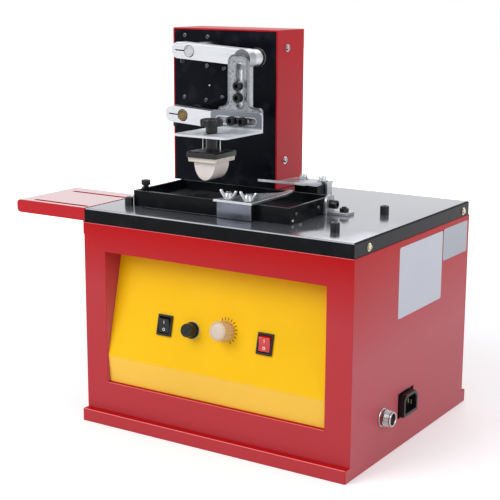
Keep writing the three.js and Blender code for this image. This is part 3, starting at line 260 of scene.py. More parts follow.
def surface(name, colour, roughness, metallic=0.0, specular=0.5, drift=0.05, gloss_drift=0.15, patch=18.0,
            skin_size=900.0, skin_depth=0.02, stretch=(1, 1, 1), coat=0.0, dusty=0.0,
            dust_colour=(0.3, 0.3, 0.3), painted_light_veils=()):
    """A finish; each painted light veil, a painted sheen, highlight or shade, gives its colour and the
    group's other values in their order.
    """
    material = bpy.data.materials.new(name)
    material.use_nodes = True
    tree = material.node_tree
    last = add_node(tree, "ShaderNodeGroup", node_tree=uneven, values={
        "Colour": (*colour, 1), "Roughness": roughness, "Drift": drift, "Gloss Drift": gloss_drift,
        "Size": patch, "Stretch": stretch})
    relief = add_node(tree, "ShaderNodeGroup", node_tree=skin, values={
        "Size": skin_size, "Depth": skin_depth * mm, "Stretch": stretch})
    if dusty:
        last = add_node(tree, "ShaderNodeGroup", node_tree=dust, values={
            "Colour": last.outputs["Colour"], "Roughness": last.outputs["Roughness"], "Amount": dusty,
            "Dust Colour": (*dust_colour, 1)})
    shown_colour = last.outputs["Colour"]
    for painted_colour, *rest in painted_light_veils:
        titles = ("Amount", "Toward", "Spread", "Full Below", "None Above")
        painted_light_layer = add_node(tree, "ShaderNodeGroup", node_tree=painted_light_group, values={
            "Colour": shown_colour, "Pale Colour": (*painted_colour, 1), **dict(zip(titles, rest))})
        shown_colour = painted_light_layer.outputs["Colour"]
    fill(tree, tree.nodes["Principled BSDF"].inputs, {
        "Base Color": shown_colour, "Roughness": last.outputs["Roughness"], "Metallic": metallic,
        "Specular IOR Level": specular, "Coat Weight": coat, "Coat Roughness": 0.08,
        "Normal": relief.outputs["Normal"]})
    return material


def to_mesh(edit, name):
    mesh = bpy.data.meshes.new(name)
    edit.to_mesh(mesh)
    edit.free()
    return mesh


def settle(shape, name, body, material, stands_for=(), sharp=35):
    """A finished shape becomes a piece that rides on its body."""
    mesh = to_mesh(shape, name) if isinstance(shape, bmesh.types.BMesh) else shape
    mesh.name = name
    mesh.materials.clear()
    mesh.materials.append(material)
    for face in mesh.polygons:
        face.use_smooth = True
    mesh.set_sharp_from_angle(angle=math.radians(sharp))
    piece = in_scene(name, mesh)
    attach(piece, body)
    if stands_for:
        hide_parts(*stands_for)
    return piece


def round_edges(piece, radius, segments=3, sharp=30):
    bevel = piece.modifiers.new("edges", "BEVEL")
    bevel.width = radius * mm
    bevel.segments = segments
    bevel.limit_method = "ANGLE"
    bevel.angle_limit = math.radians(sharp)
    bevel.harden_normals = True


def joined_faces(node):
    """A copy of a solid's mesh with its loose triangles joined into whole faces."""
    edit = bmesh.new()
    edit.from_mesh(nodes[node].data)
    bmesh.ops.remove_doubles(edit, verts=edit.verts, dist=0.01 * mm)
    bmesh.ops.dissolve_limit(edit, angle_limit=math.radians(0.5), verts=edit.verts, edges=edit.edges)
    return edit


def rounded_copy(node, material, radius, sharp=30):
    piece = settle(joined_faces(node), node + "_skin", nodes[node]["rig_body"], material, [node], sharp)
    round_edges(piece, radius, sharp=sharp)


# Direction of the edges that get a painted highlight: turned to the front and up.
front_edge = (0, -0.707, 0.707)
whole_height = (8, 9)
# The red coat's veils are painted light: a paler painted sheen on front faces below about 140 to 200 mm, a
# paler painted sheen on right faces below about 100 to 205 mm, and a pale pink painted highlight on every
# edge turned to the front and up.
red_coat = surface(
    "red_powder_coat", (0.46, 0.006, 0.008), 0.36, specular=0.09, patch=9.0, skin_depth=0.03,
    painted_light_veils=(((0.48, 0.045, 0.054), 1.0, (0, -1, 0), 0.9, 0.14, 0.2),
           ((0.5, 0.105, 0.125), 1.0, (1, 0, 0), 0.9, 0.1, 0.205),
           ((0.95, 0.26, 0.27), 1.0, front_edge, 0.78, *whole_height)))
rounded_copy("base_plinth", red_coat, 1.4)
rounded_copy("case_shell", red_coat, 1.1)
# Lid: a shallow folded cover, stoved glossy black and lightly dusty, that drops over the case and
# leaves a thin line of red around it. The side table bolts against the case, level with the lid.
# Painted light on the enamel: a pale grey painted highlight on every edge turned to the front and up, and
# the right faces painted a little lighter, a painted sheen.
gloss_black = surface("gloss_black_enamel", (0.006, 0.0065, 0.008), 0.15, specular=0.04, drift=0.1,
                      gloss_drift=0.35, patch=26.0, skin_depth=0.012, dusty=0.1,
                      dust_colour=(0.05, 0.052, 0.056),
                      painted_light_veils=(((0.62, 0.64, 0.67), 0.9, front_edge, 0.9, *whole_height),
                             ((0.035, 0.033, 0.037), 1.0, (1, 0, 0), 0.9, *whole_height)))


def painted_grazing_sheen(material, most, reflected, begins, full):
    """Level faces seen at a flat angle are blended toward a pale colour and turned metallic, as a glossy
    coat reflects: a painted sheen, partly rendered as a real metal reflection.
    """
    tree = material.node_tree
    sockets = tree.nodes["Principled BSDF"].inputs
    seen_flat = add_node(tree, "ShaderNodeLayerWeight", {"Blend": 0.5}).outputs["Facing"]
    normal = add_node(tree, "ShaderNodeNewGeometry").outputs["Normal"]
    turned_up = add_node(tree, "ShaderNodeSeparateXYZ", {0: normal}).outputs["Z"]
    level = remap(tree, turned_up, 0.0, 1.0, 0.9, 0.99)
    mirrored = calculate(tree, "MULTIPLY", remap(tree, seen_flat, 0.0, most, begins, full), level)
    coat_colour = sockets["Base Color"].links[0].from_socket
    fill(tree, sockets, {
        "Base Color": blend_colours(tree, mirrored, coat_colour, (*reflected, 1)), "Metallic": mirrored})


# The lid's level top seen at a flat angle gets a pale grey painted sheen.
painted_grazing_sheen(gloss_black, 0.88, (0.42, 0.43, 0.475), 0.53, 0.68)
fold_radius = 0.45
fold_sharp = 20
rounded_copy("lid", gloss_black, fold_radius, sharp=fold_sharp)
table_coat = surface("table_red_coat", (0.5, 0.0065, 0.012), 0.2, specular=0.14, patch=9.0)
# The table's level top seen at a flat angle gets a pale pink painted sheen.
painted_grazing_sheen(table_coat, 0.75, (0.85, 0.7, 0.74), 0.5, 0.66)
rounded_copy("side_table", table_coat, fold_radius, sharp=fold_sharp)


# Control panel: yellow coated sheet set into the recess, folded near its foot, with small black marks
# printed around the speed control. Everything on it stands square to its slope.
case_width, case_depth, lid_top = 300, 251, 217
yellow_coat = surface("yellow_coat", (0.93, 0.56, 0.06), 0.4, specular=0.3, drift=0.035, patch=14.0)
rounded_copy("control_panel", yellow_coat, 0.3)
panel_fold = (1.5, 70.5)
panel_slope = math.atan2(24.5, 105.2)
panel_up = Vector((0, math.sin(panel_slope), math.cos(panel_slope)))
panel_out = Vector((0, -math.cos(panel_slope), math.sin(panel_slope)))
control_rise = 40


def at(x, y, z):
    """A place in millimetres from the case's left, its front and the floor."""
    return Vector((x - case_width / 2, y - case_depth / 2, z)) * mm


def set_at(place, along=(0, 0, 1), across=(1, 0, 0)):
    """A frame in millimetres at a place, with Z along one direction and X across it."""
    forward = Vector(along).normalized()
    side = (Vector(across) - Vector(across).dot(forward) * forward).normalized()
    turn = Matrix((side, forward.cross(side), forward)).transposed().to_4x4()
    return Matrix.Translation(place) @ turn @ Matrix.Scale(mm, 4)


def on_panel(x, out=0.0, rise=control_rise):
    """A frame on the slope at its controls, with Z out of the panel and Y up it."""
    return set_at(at(x, *panel_fold) + (panel_up * rise + panel_out * out) * mm, panel_out)


def join_rings(edit, rings):
    """Walls between rings of points; a ring of one point is a tip."""
    for lower, upper in zip(rings, rings[1:]):
        count = max(len(lower), len(upper))
        for k in range(count):
            around_face = ((lower, k), (lower, k + 1), (upper, k + 1), (upper, k))
            corners = [ring[step % len(ring)] for ring, step in around_face]
            edit.faces.new(list(dict.fromkeys(corners)))


def ring_of(edit, outline, height, place):
    return [edit.verts.new(place @ Vector((x, y, height))) for x, y in outline]


def loft(edit, sections, place):
    """A closed body through outlines of equally many points, each at its height along the frame's Z."""
    rings = [ring_of(edit, outline, height, place) for outline, height in sections]
    join_rings(edit, rings)
    edit.faces.new(list(reversed(rings[0])))
    edit.faces.new(rings[-1])


def prism(edit, outline, low, high, place):
    loft(edit, [(outline, low), (outline, high)], place)


def tube(edit, outer, inner, low, high, place):
    """A bar with a hole along it; both outlines have the same number of points."""
    rings = [ring_of(edit, outline, height, place)
             for outline, height in ((outer, low), (outer, high), (inner, high), (inner, low))]
    join_rings(edit, rings + rings[:1])


def around(reach, steps, turn=0.0):
    """An outline whose reach from the middle follows the angle."""
    angles = [turn + 2 * math.pi * k / steps for k in range(steps)]
    return [(reach(angle) * math.cos(angle), reach(angle) * math.sin(angle)) for angle in angles]


def disc(radius, steps=24, turn=0.0):
    return around(lambda angle: radius, steps, turn)


def block(x0, x1, y0, y1):
    return [(x0, y0), (x1, y0), (x1, y1), (x0, y1)]


def turned(edit, profile, place, steps=48, ribs=0, rib_depth=0.0):
    """A lathe-turned body of (radius, height) points; a third number says how far ribs are cut there."""
    rings = []
    for radius, height, *cut in profile:
        depth = rib_depth * cut[0] / 2 if cut else 0
        outline = around(lambda angle: radius - depth * (1 - math.tanh(3 * math.cos(ribs * angle))), steps)
        rings.append(ring_of(edit, outline if radius else [(0, 0)], height, place))
    join_rings(edit, rings)


# One tree puts a shape on every point it is given, turned as the point's own attribute says
place_shapes = bpy.data.node_groups.new("place_shapes", "GeometryNodeTree")
for title, kind, direction in (("Geometry", "Geometry", "INPUT"), ("Shape", "Object", "INPUT"),
                               ("Scale", "Float", "INPUT"), ("Finish", "Material", "INPUT"),
                               ("Geometry", "Geometry", "OUTPUT")):
    place_shapes.interface.new_socket(title, in_out=direction, socket_type="NodeSocket" + kind)
given = add_node(place_shapes, "NodeGroupInput").outputs
given_shape = add_node(place_shapes, "GeometryNodeObjectInfo", {"Object": given["Shape"]})
turns = add_node(place_shapes, "GeometryNodeInputNamedAttribute", {"Name": "turn"}, data_type="FLOAT_VECTOR")
as_turn = add_node(place_shapes, "FunctionNodeEulerToRotation", {"Euler": turns.outputs["Attribute"]})
spread = add_node(place_shapes, "GeometryNodeInstanceOnPoints", {
    "Points": given["Geometry"], "Instance": given_shape.outputs["Geometry"],
    "Rotation": as_turn.outputs["Rotation"], "Scale": given["Scale"]})
solid = add_node(place_shapes, "GeometryNodeRealizeInstances", {"Geometry": spread.outputs["Instances"]})
finished = add_node(place_shapes, "GeometryNodeSetMaterial", {
    "Geometry": solid.outputs["Geometry"], "Material": given["Finish"]})
add_node(place_shapes, "NodeGroupOutput", {"Geometry": finished.outputs["Geometry"]})


def repeated(name, shape_edit, frames, body, material, stands_for=(), sharp=35, scale=1.0):
    """One shape repeated at frames, as one piece of a body."""
    shape = in_scene(name + "_shape", to_mesh(shape_edit, name + "_shape"))
    points = bpy.data.meshes.new(name + "_points")
    points.from_pydata([place.translation for place in frames], [], [])
    turns = points.attributes.new("turn", "FLOAT_VECTOR", "POINT")
    for spot_number, place in enumerate(frames):
        turns.data[spot_number].vector = place.to_euler()
    carrier = in_scene(name + "_points", points)
    spread = carrier.modifiers.new("spread", "NODES")
    spread.node_group = place_shapes
    values = {"Shape": shape, "Scale": scale, "Finish": material}
    for socket in place_shapes.interface.items_tree:
        if socket.in_out == "INPUT" and socket.name in values:
            spread[socket.identifier] = values[socket.name]
    carrier.update_tag()
    view = bpy.context.evaluated_depsgraph_get()
    mesh = bpy.data.meshes.new_from_object(carrier.evaluated_get(view))
    carrier.modifiers.remove(spread)
    for used in (carrier, shape):
        bpy.data.objects.remove(used)
    return settle(mesh, name, body, material, stands_for, sharp)


# A deeper yellow film covers the slope from the fold to the top, cut out around the controls
film_top = at(0, 26.5, 0).y
film_gap, film_thickness = 0.02, 0.12
deep_yellow = surface("yellow_film", (0.93, 0.53, 0.004), 0.36, specular=0.16, drift=0.03, patch=14.0,
                      skin_depth=0.01)
slope_film = joined_faces("control_panel")
off_slope = [face for face in slope_film.faces
             if face.normal.dot(panel_out) < 0.999 or face.calc_center_median().y > film_top]
bmesh.ops.delete(slope_film, geom=off_slope, context="FACES")
bmesh.ops.translate(slope_film, verts=slope_film.verts, vec=panel_out * film_gap * mm)
raised = bmesh.ops.extrude_face_region(slope_film, geom=list(slope_film.faces), use_keep_orig=True)["geom"]
bmesh.ops.translate(slope_film, verts=[part for part in raised if isinstance(part, bmesh.types.BMVert)],
                    vec=panel_out * film_thickness * mm)
bmesh.ops.recalc_face_normals(slope_film, faces=slope_film.faces)
settle(slope_film, "control_panel_film", "base", deep_yellow, sharp=30)

black_print = surface("black_print", (0.012, 0.011, 0.01), 0.5, drift=0.1, skin_depth=0.005)
tick_shape = bmesh.new()
prism(tick_shape, block(-0.38, 0.38, 10.4, 13.2), 0.1, 0.22, Matrix.Scale(mm, 4))
tick_count, first_tick, tick_step = 11, math.radians(27), math.radians(17.3)
knob_x, knob_rise = 160, 45
repeated("dial_ticks", tick_shape,
         [on_panel(knob_x, rise=knob_rise) @ Matrix.Rotation(first_tick - k * tick_step, 4, "Z")
          for k in range(tick_count)],
         "base", black_print)


# Rocker switches: moulded black bezels with a glossy key in each, one black and one red, and white
# marks printed on the keys. They snap into square holes in the panel.
black_moulding = surface("black_moulding", (0.008, 0.008, 0.009), 0.32, specular=0.32, drift=0.12,
                         patch=60.0)
red_moulding = surface("red_moulding", (0.62, 0.012, 0.008), 0.2, specular=0.6, drift=0.1, patch=90.0,
                       skin_depth=0.008, coat=0.4)
white_print = surface("white_print", (0.8, 0.79, 0.76), 0.5, drift=0.04, skin_depth=0.004)
key_tilt = math.radians(9)
key_slope = math.atan2(0.8, 6.64)
for side, x, key_finish, key_slot in (("left", 90.5, black_moulding, "black_plastic"),
                                      ("right", 204.5, red_moulding, "red_plastic")):
    rounded_copy(side + "_switch", black_moulding, 0.55)
    rounded_copy(side + "_rocker", key_finish, 0.45)
    marks = bmesh.new()
    pivot = on_panel(x, out=-1.0) @ Matrix.Rotation(key_tilt, 4, "X")
    upper, lower = (
        pivot @ Matrix.Translation((0, 3.5 * half, 3.63)) @ Matrix.Rotation(half * key_slope, 4, "X")
        for half in (1, -1))
    prism(marks, block(-0.3, 0.3, -1.5, 1.5), -0.1, 0.06, upper)
    tube(marks, disc(1.5), disc(0.95), -0.1, 0.06, lower)
    settle(marks, side + "_key_marks", side + "_key", white_print)


# Fuse holder: a black moulded flange over a pale washer, with a quarter-turn cap that has a raised
# grip bar across its face
on_fuse = on_panel(122.5)
rounded_copy("fuse_holder", black_moulding, 0.4)
pale_ring = surface("pale_washer", (0.6, 0.6, 0.58), 0.35, skin_depth=0.01)
washer = bmesh.new()
tube(washer, disc(8.5, 48), disc(7.2, 48), 0.14, 0.9, on_fuse)
round_edges(settle(washer, "fuse_holder_washer", "base", pale_ring), 0.2, 2)
cap = bmesh.new()
turned(cap, [(0, -8), (4.5, -8), (4.5, 2.8), (7.2, 2.8), (7.2, 4.4), (6.6, 5.0), (6.5, 10.6), (5.9, 11.5),
             (5.0, 11.5), (4.6, 11.0), (0, 11.0)], on_fuse, 72)
round_edges(settle(cap, "fuse_cap_turned", "fuse_cap", black_moulding, ["fuse_cap"]), 0.2)
grip_bar = bmesh.new()
prism(grip_bar, block(-4.5, 4.5, -0.9, 0.9), 10.6, 11.5, on_fuse @ Matrix.Rotation(0.7, 4, "Z"))
round_edges(settle(grip_bar, "fuse_cap_grip", "fuse_cap", black_moulding), 0.25)


# Speed control: a moulded cream knob with ribs around it and a flat face of its own, made in one with
# the shaft that it turns
cream_moulding = surface("cream_moulding", (0.66, 0.5, 0.3), 0.4, patch=70.0, skin_depth=0.015)
face_cream = surface("knob_face", (0.66, 0.53, 0.43), 0.35, drift=0.04, patch=70.0, skin_depth=0.01)
knob = bmesh.new()
on_knob = on_panel(knob_x, rise=knob_rise)
turned(knob, [(0, 0.6), (9.8, 0.6, 1), (9.8, 2.0, 1), (9.5, 13.4, 1), (9.0, 14.7, 0.4), (8.3, 15.0),
              (7.6, 15.0), (7.2, 14.5), (0, 14.5)], on_knob, 216, 20, 0.95)
turned(knob, [(0, -6.5), (3, -6.5), (3, 0.8), (0, 0.8)], on_knob, 24)
settle(knob, "speed_knob_moulded", "speed_knob", cream_moulding, ["speed_knob"], 50)
knob_face = bmesh.new()
turned(knob_face, [(0, 14.2), (7.0, 14.2), (7.0, 14.7), (6.7, 14.85), (0, 14.85)], on_knob, 60)
settle(knob_face, "speed_knob_face", "speed_knob", face_cream)


# Sockets on the right side: a black mains inlet that snaps in from inside, with the top corners of its
# mouth cut off, and a chromed round connector with its thread, nut and dark insulator
def cut_corners(half_width, half_height, corner):
    return [(-half_width, -half_height), (half_width, -half_height), (half_width, half_height - corner),
            (half_width - corner, half_height), (corner - half_width, half_height),
            (-half_width, half_height - corner)]


def on_right(y, z, x=case_width):
    """A frame on the right side, with Z out of it and Y up."""
    return set_at(at(x, y, z), (1, 0, 0), (0, 1, 0))


inlet = bmesh.new()
inlet_frame = on_right(112, 42)
tube(inlet, cut_corners(15, 10.75, 5), cut_corners(12, 7.75, 4), -6, 6, inlet_frame)
prism(inlet, cut_corners(15, 10.75, 5), -18, -6, inlet_frame)
prism(inlet, block(-20, 20, -10.75, 10.75), -4.5, -1.6, inlet_frame)
round_edges(settle(inlet, "mains_inlet_moulded", "base", black_moulding,
                   ["mains_inlet"]), 0.6)
brass_metal = surface("machined_brass", (0.165, 0.118, 0.055), 0.26, metallic=1.0, drift=0.12, patch=90.0,
                      skin_depth=0.01)
pins = bmesh.new()
for across in (-7, 0, 7):
    lift = 2 if across == 0 else -1
    prism(pins, block(across - 1, across + 1, lift - 2.5, lift + 2.5), -6.2, 3, inlet_frame)
round_edges(settle(pins, "mains_inlet_pins", "base", brass_metal), 0.3)

# The chrome's faces turned to the front and toward the case are tinted red: a painted reflection of the red
# case.
chrome_metal = surface("chrome", (0.46, 0.45, 0.46), 0.07, metallic=1.0, drift=0.04, skin_depth=0.002,
                       painted_light_veils=(((0.3, 0.05, 0.05), 0.75, (-0.35, -0.93, 0), 0.6, *whole_height),))
connector_frame = on_right(62, 42)
thread_pitch = 0.95
thread = [(7.4 - 0.55 * (k % 2), 4.2 + k * thread_pitch / 2) for k in range(13)]
connector = bmesh.new()
turned(connector, [(0, -12), (7.4, -12), (7.4, 0), (9, 0.02), (9, 1.0), (8.6, 1.4), (7.9, 1.5), (7.9, 4.0),
                   *thread, (7.4, 10.8), (6.9, 11.5), (5.9, 11.5), (5.5, 11.1), (5.5, 3.6), (0, 3.6)],
       connector_frame, 60)
settle(connector, "round_connector_turned", "base", chrome_metal, ["round_connector"], 25)
insulator = bmesh.new()
turned(insulator, [(0, 3.4), (5.4, 3.4), (5.4, 8.2), (5.0, 8.6), (1.5, 8.6), (1.2, 8.1), (0, 8.1)],
       connector_frame, 40)
settle(insulator, "round_connector_insulator", "base", black_moulding)


# Two bare places on the right side, both stuck on and left plain: a film of pale plastic and a thin
# plate of dull grey metal
film = surface("pale_film", (0.504, 0.521, 0.595), 0.32, drift=0.03, patch=12.0, skin_depth=0.01)
grey_foil = surface("grey_foil", (0.277, 0.29, 0.335), 0.3, metallic=0.7, drift=0.08, patch=12.0,
                    skin_depth=0.01)


def rounded_block(x0, x1, y0, y1, radius, steps=5):
    points = []
    for number, (x, y) in enumerate(((x1 - radius, y0 + radius), (x1 - radius, y1 - radius),
                                     (x0 + radius, y1 - radius), (x0 + radius, y0 + radius))):
        for k in range(steps + 1):
            angle = math.pi / 2 * (number - 1 + k / steps)
            points.append((x + radius * math.cos(angle), y + radius * math.sin(angle)))
    return points


for patch_name, (y0, y1, z0, z1), finish, slot in (
        ("side_film", (89, 185, 129, 197), film, "cream_plastic"),
        ("side_plate", (187, 246, 166, 198), grey_foil, "steel")):
    patch_edit = bmesh.new()
    prism(patch_edit, rounded_block(y0, y1, z0, z1, 2.5), -0.05, 0.25, on_right(0, 0))
    round_edges(settle(patch_edit, patch_name, "base", finish), 0.1, 2)


# The plinth's top edge on both sides: a narrow weld between the plinth and the case, ground flat and
# coated with them
weld = bmesh.new()
for x0, x1 in ((0.05, 2.0), (298.0, 299.95)):
    prism(weld, block(x0, x1, 1.5, 249.5), 11.6, 14.1, set_at(at(0, 0, 0)))
settle(weld, "plinth_side_welds", "base", red_coat)


# Tower: a red folded box on the back of the lid, closed in front by a black sheet held with screws. Its
# red is a little stronger than the case's, and its right side is painted paler toward the foot, a painted
# sheen.
tower_red = surface("red_tower_coat", (0.5, 0.012, 0.02), 0.36, specular=0.12, patch=9.0,
                    skin_depth=0.03, painted_light_veils=(((0.5, 0.034, 0.045), 1.0, (1, 0, 0), 0.9, 0.22, 0.36),))
tower_black = surface("satin_black_coat", (0.004, 0.005, 0.0085), 0.27, specular=0.04, drift=0.12,
                      gloss_drift=0.3, patch=30.0, skin_depth=0.03, dusty=0.3,
                      dust_colour=(0.04, 0.045, 0.06))
rounded_copy("tower_shell", tower_red, 0.7)
rounded_copy("tower_front_panel", tower_black, 0.2)


# Shafts and bearings: turned steel and brass in blackened flanged sleeves. A screw clamps each arm
# on its shaft through the slit in its tail.
bright_steel = surface("bright_steel", (0.42, 0.435, 0.46), 0.26, metallic=1.0, drift=0.1, gloss_drift=0.3,
                       patch=40.0, skin_size=1500.0, skin_depth=0.008)
black_oxide = surface("black_oxide", (0.008, 0.008, 0.0095), 0.3, metallic=0.1, specular=0.3, drift=0.15,
                      patch=70.0, skin_depth=0.012)
for node, finish, slot in (
        ("upper_bearing", black_oxide, "black_steel"), ("upper_shaft", bright_steel, "steel"),
        ("lower_bearing", black_oxide, "black_steel"), ("lower_shaft", brass_metal, "brass")):
    rounded_copy(node, finish, 0.5)


def hexagon(radius, steps=36):
    """A hexagon with as many points as a round outline."""
    flat = radius * math.cos(math.pi / 6)
    return around(lambda angle: flat / math.cos(angle % (math.pi / 3) - math.pi / 6), steps)


def socket_head(radius, length, socket=0.55, chamfer=0.5, shank=0.0, shank_length=0.0):
    """A cap screw: its head stands on the frame, with a hexagon socket in its top."""
    screw = bmesh.new()
    foot = [(disc(shank, 36), -shank_length), (disc(shank, 36), 0)] if shank else []
    loft(screw, foot + [
        (disc(radius, 36), 0), (disc(radius, 36), length - chamfer),
        (disc(radius - chamfer, 36), length), (hexagon(radius * socket), length),
        (hexagon(radius * socket), length * 0.45)], Matrix.Scale(mm, 4))
    return screw


arm_droop = math.radians(3.5)
arm_levels = {"upper": (363, 153.5), "lower": (297.5, 139.7)}
clamp_behind, arm_half, shaft_x = 12, 8.5, 24
for level, (height, middle) in arm_levels.items():
    arm_frame = Matrix.Translation(at(shaft_x, middle, height)) @ Matrix.Rotation(arm_droop, 4, "Y")
    under = arm_frame @ Matrix.Translation(Vector((-clamp_behind, 0, -arm_half)) * mm)
    repeated(level + "_clamp_screw", socket_head(2.9, 5), [under @ Matrix.Rotation(math.pi, 4, "X")],
             level + "_arm", black_oxide)

# The shafts end in turned faces with a groove around the middle, seen in front of the arms
forward = (0, -1, 0)
for level, front, finish, slot in (
        ("upper", 146, bright_steel, "steel"), ("lower", 134, brass_metal, "brass")):
    shaft_end = bmesh.new()
    turned(shaft_end, [(0, -1), (5.7, -1), (5.7, 0.1), (5.3, 0.45), (4.3, 0.45), (4.0, 0.15), (3.7, 0.15),
                       (3.4, 0.45), (0.8, 0.45), (0.5, 0.1), (0, 0.1)],
           set_at(at(shaft_x, front, arm_levels[level][0]), forward), 60)
    settle(shaft_end, level + "_shaft_end", level + "_arm", finish)


# Swinging arms: bright aluminium bars with round ends, brushed along their length. The pin of the
# upper arm has a black knurled head behind it; the lower arm is thinned where the link laps over it.
brushed_aluminium = surface("brushed_aluminium", (0.53, 0.54, 0.565), 0.36, metallic=0.9, drift=0.07,
                            gloss_drift=0.2, patch=700.0, skin_size=2600.0, skin_depth=0.012,
                            stretch=(0.04, 1.0, 1.0))
for node in ("upper_arm", "lower_arm"):
    rounded_copy(node, brushed_aluminium, 0.7)
pin_head = bmesh.new()
pin_x = 97.862
turned(pin_head, [(0, -27.3), (4, -27.3), (4, 0), (9.4, 0), (10, 0.5, 1), (10, 2.5, 1), (9.4, 3), (4.5, 3),
                  (4.2, 2.6), (0, 2.6)], set_at(at(pin_x, 161.3, 358.482), (0, 1, 0)), 180, 30, 0.5)
settle(pin_head, "upper_pin_turned", "upper_arm", black_oxide, ["upper_pin"])


# Link bar between the two arms: cast aluminium with an eye at each end, filed smooth. Its front is painted
# darker at the upper eye, a painted shade, and painted pale low down, a painted highlight.
link_metal = surface("link_aluminium", (0.34, 0.35, 0.37), 0.36, metallic=0.95, drift=0.2, gloss_drift=0.3,
                     patch=260.0, skin_size=700.0, skin_depth=0.06,
                     painted_light_veils=(((0.09, 0.095, 0.105), 0.85, (0, -1, 0), 0.9, 0.356, 0.352),
                            ((0.9, 0.91, 0.93), 0.9, (0, -1, 0), 0.9, 0.3465, 0.348)))
rounded_copy("link_bar", link_metal, 0.6)
rounded_copy("lower_pin", bright_steel, 0.4)


# Height bracket: a grey die casting with a raised border around its outline and its slot. It slides
# on the link and is held by two black cap screws.
cast_grey = surface("cast_grey", (0.235, 0.245, 0.26), 0.4, metallic=0.85, drift=0.4, gloss_drift=0.35,
                    patch=520.0, skin_size=480.0, skin_depth=0.28)
border_width, border_height, bracket_face = 1.7, 1.1, 129.2
casting = joined_faces("height_bracket")
bracket_front = at(0, bracket_face, 0).y
front_faces = [face for face in casting.faces
               if face.normal.y < -0.99 and abs(face.calc_center_median().y - bracket_front) < 0.05 * mm]
bmesh.ops.inset_region(casting, faces=front_faces, thickness=border_width * mm, depth=-border_height * mm,
                       use_boundary=True, use_even_offset=True)
round_edges(settle(casting, "height_bracket_cast", "height_slide", cast_grey,
                   ["height_bracket"], 30), 0.35, 2)

repeated("height_screws", socket_head(4.7, 6, socket=0.57, shank=3, shank_length=12.5),
         [set_at(at(pin_x, bracket_face, z), forward) for z in (320, 332)],
         "head_link", black_oxide, ["height_screw_1", "height_screw_2"])


# Shift bracket: an angle of bright steel plate, slotted to set the pad sideways and in depth. Its
# front slot has a raised rim, and its two black cap screws go into the casting.
shift_x, shift_face, shift_z = 95.262, 127, 296.8
# The plate's front faces above about 290 mm are painted dark, a painted shade.
plate_steel = surface("plate_steel", (0.62, 0.64, 0.67), 0.4, metallic=0.3, drift=0.1, gloss_drift=0.3,
                      patch=34.0, skin_size=1800.0, skin_depth=0.008, stretch=(0.15, 1.0, 1.0),
                      painted_light_veils=(((0.17, 0.19, 0.22), 1.0, (0, -1, 0), 0.9, 0.291, 0.289),))
rounded_copy("shift_bracket", plate_steel, 0.45)
slot_rim = bmesh.new()
rim_outside = rounded_block(-24.9, 24.9, -4.4, 4.4, 4.39, 8)
rim_inside = rounded_block(-24.0, 24.0, -3.5, 3.5, 3.49, 8)
tube(slot_rim, rim_outside, rim_inside, -0.3, 0.45, set_at(at(shift_x, shift_face, shift_z), forward))
round_edges(settle(slot_rim, "shift_slot_rim", "shift_slide", brushed_aluminium), 0.15, 2)
repeated("shift_screws", socket_head(4.7, 6, socket=0.57, shank=3, shank_length=6.7),
         [set_at(at(pin_x + side, shift_face, shift_z), forward) for side in (-6.4, 6.4)],
         "height_slide", black_oxide, ["shift_screw_1", "shift_screw_2"])


# Pad holder: a black plate with a column and two bright guide rods, held on the shelf by a black
# knob. The wooden base and the silicone pad hang under it.
pad_x, pad_y = shift_x, 83.5
upright = set_at(at(pad_x, pad_y, 0))
holder = bmesh.new()
holder_foot = rounded_block(-17.25, 17.25, -18.8, 18.8, 1.2)
holder_top = rounded_block(-15.9, 15.9, -17.45, 17.45, 0.8)
loft(holder, [(holder_foot, 266), (holder_foot, 270.6), (holder_top, 272)], upright)
turned(holder, [(0, 271), (5.6, 271), (5.6, 285.5), (5.1, 286), (3, 286), (3, 295), (2.6, 295.8),
                (0, 295.8)], upright, 40)
round_edges(settle(holder, "pad_holder_plate", "pad_slide", black_oxide,
                   ["pad_holder"], 30), 0.3, 2)
rods = bmesh.new()
for side in (-10.3, 10.3):
    turned(rods, [(0, 268), (0.5, 268), (0.5, 288.6), (0.35, 288.9), (0, 288.9)],
           set_at(at(pad_x + side, pad_y, 0)), 20)
# The guide rods take the link's finish, so their fronts carry its pale painted highlight too.
settle(rods, "pad_guide_rods", "pad_slide", link_metal)

grip = bmesh.new()
turned(grip, [(0, 296.3), (3.4, 296.3), (3.4, 288.8), (5.3, 288.8), (5.8, 289.3), (5.8, 295.6), (9.8, 295.8),
              (11.0, 296.2, 0.6), (11.4, 297.2, 1), (11.4, 301.4, 1), (10.8, 302.4, 0.7), (9.6, 302.8),
              (4.4, 302.8), (4.0, 302.3), (0, 302.3)], upright, 168, 14, 1.2)
settle(grip, "pad_knob_moulded", "pad_knob", black_moulding, ["pad_knob"], 40)

wood = surface("bare_wood", (0.72, 0.65, 0.56), 0.5, drift=0.16, patch=240.0, skin_size=1300.0,
               skin_depth=0.05, stretch=(0.12, 1.0, 1.0))
rounded_copy("pad_base", wood, 0.5)
silicone = surface("pale_silicone", (0.86, 0.77, 0.73), 0.34, drift=0.04, patch=45.0, skin_size=500.0)
# The pad is round from left to right, and its front and back edges are eased
half_wide, half_deep, pad_drop, pad_top, edge = 12.6, 12.5, 18.3, 261.5, 0.7
pad = bmesh.new()


def pad_section(inward):
    angles = [math.pi * k / 64 for k in range(65)]
    return [((inward - half_wide) * math.cos(angle), pad_top - (pad_drop - inward) * math.sin(angle))
            for angle in angles]


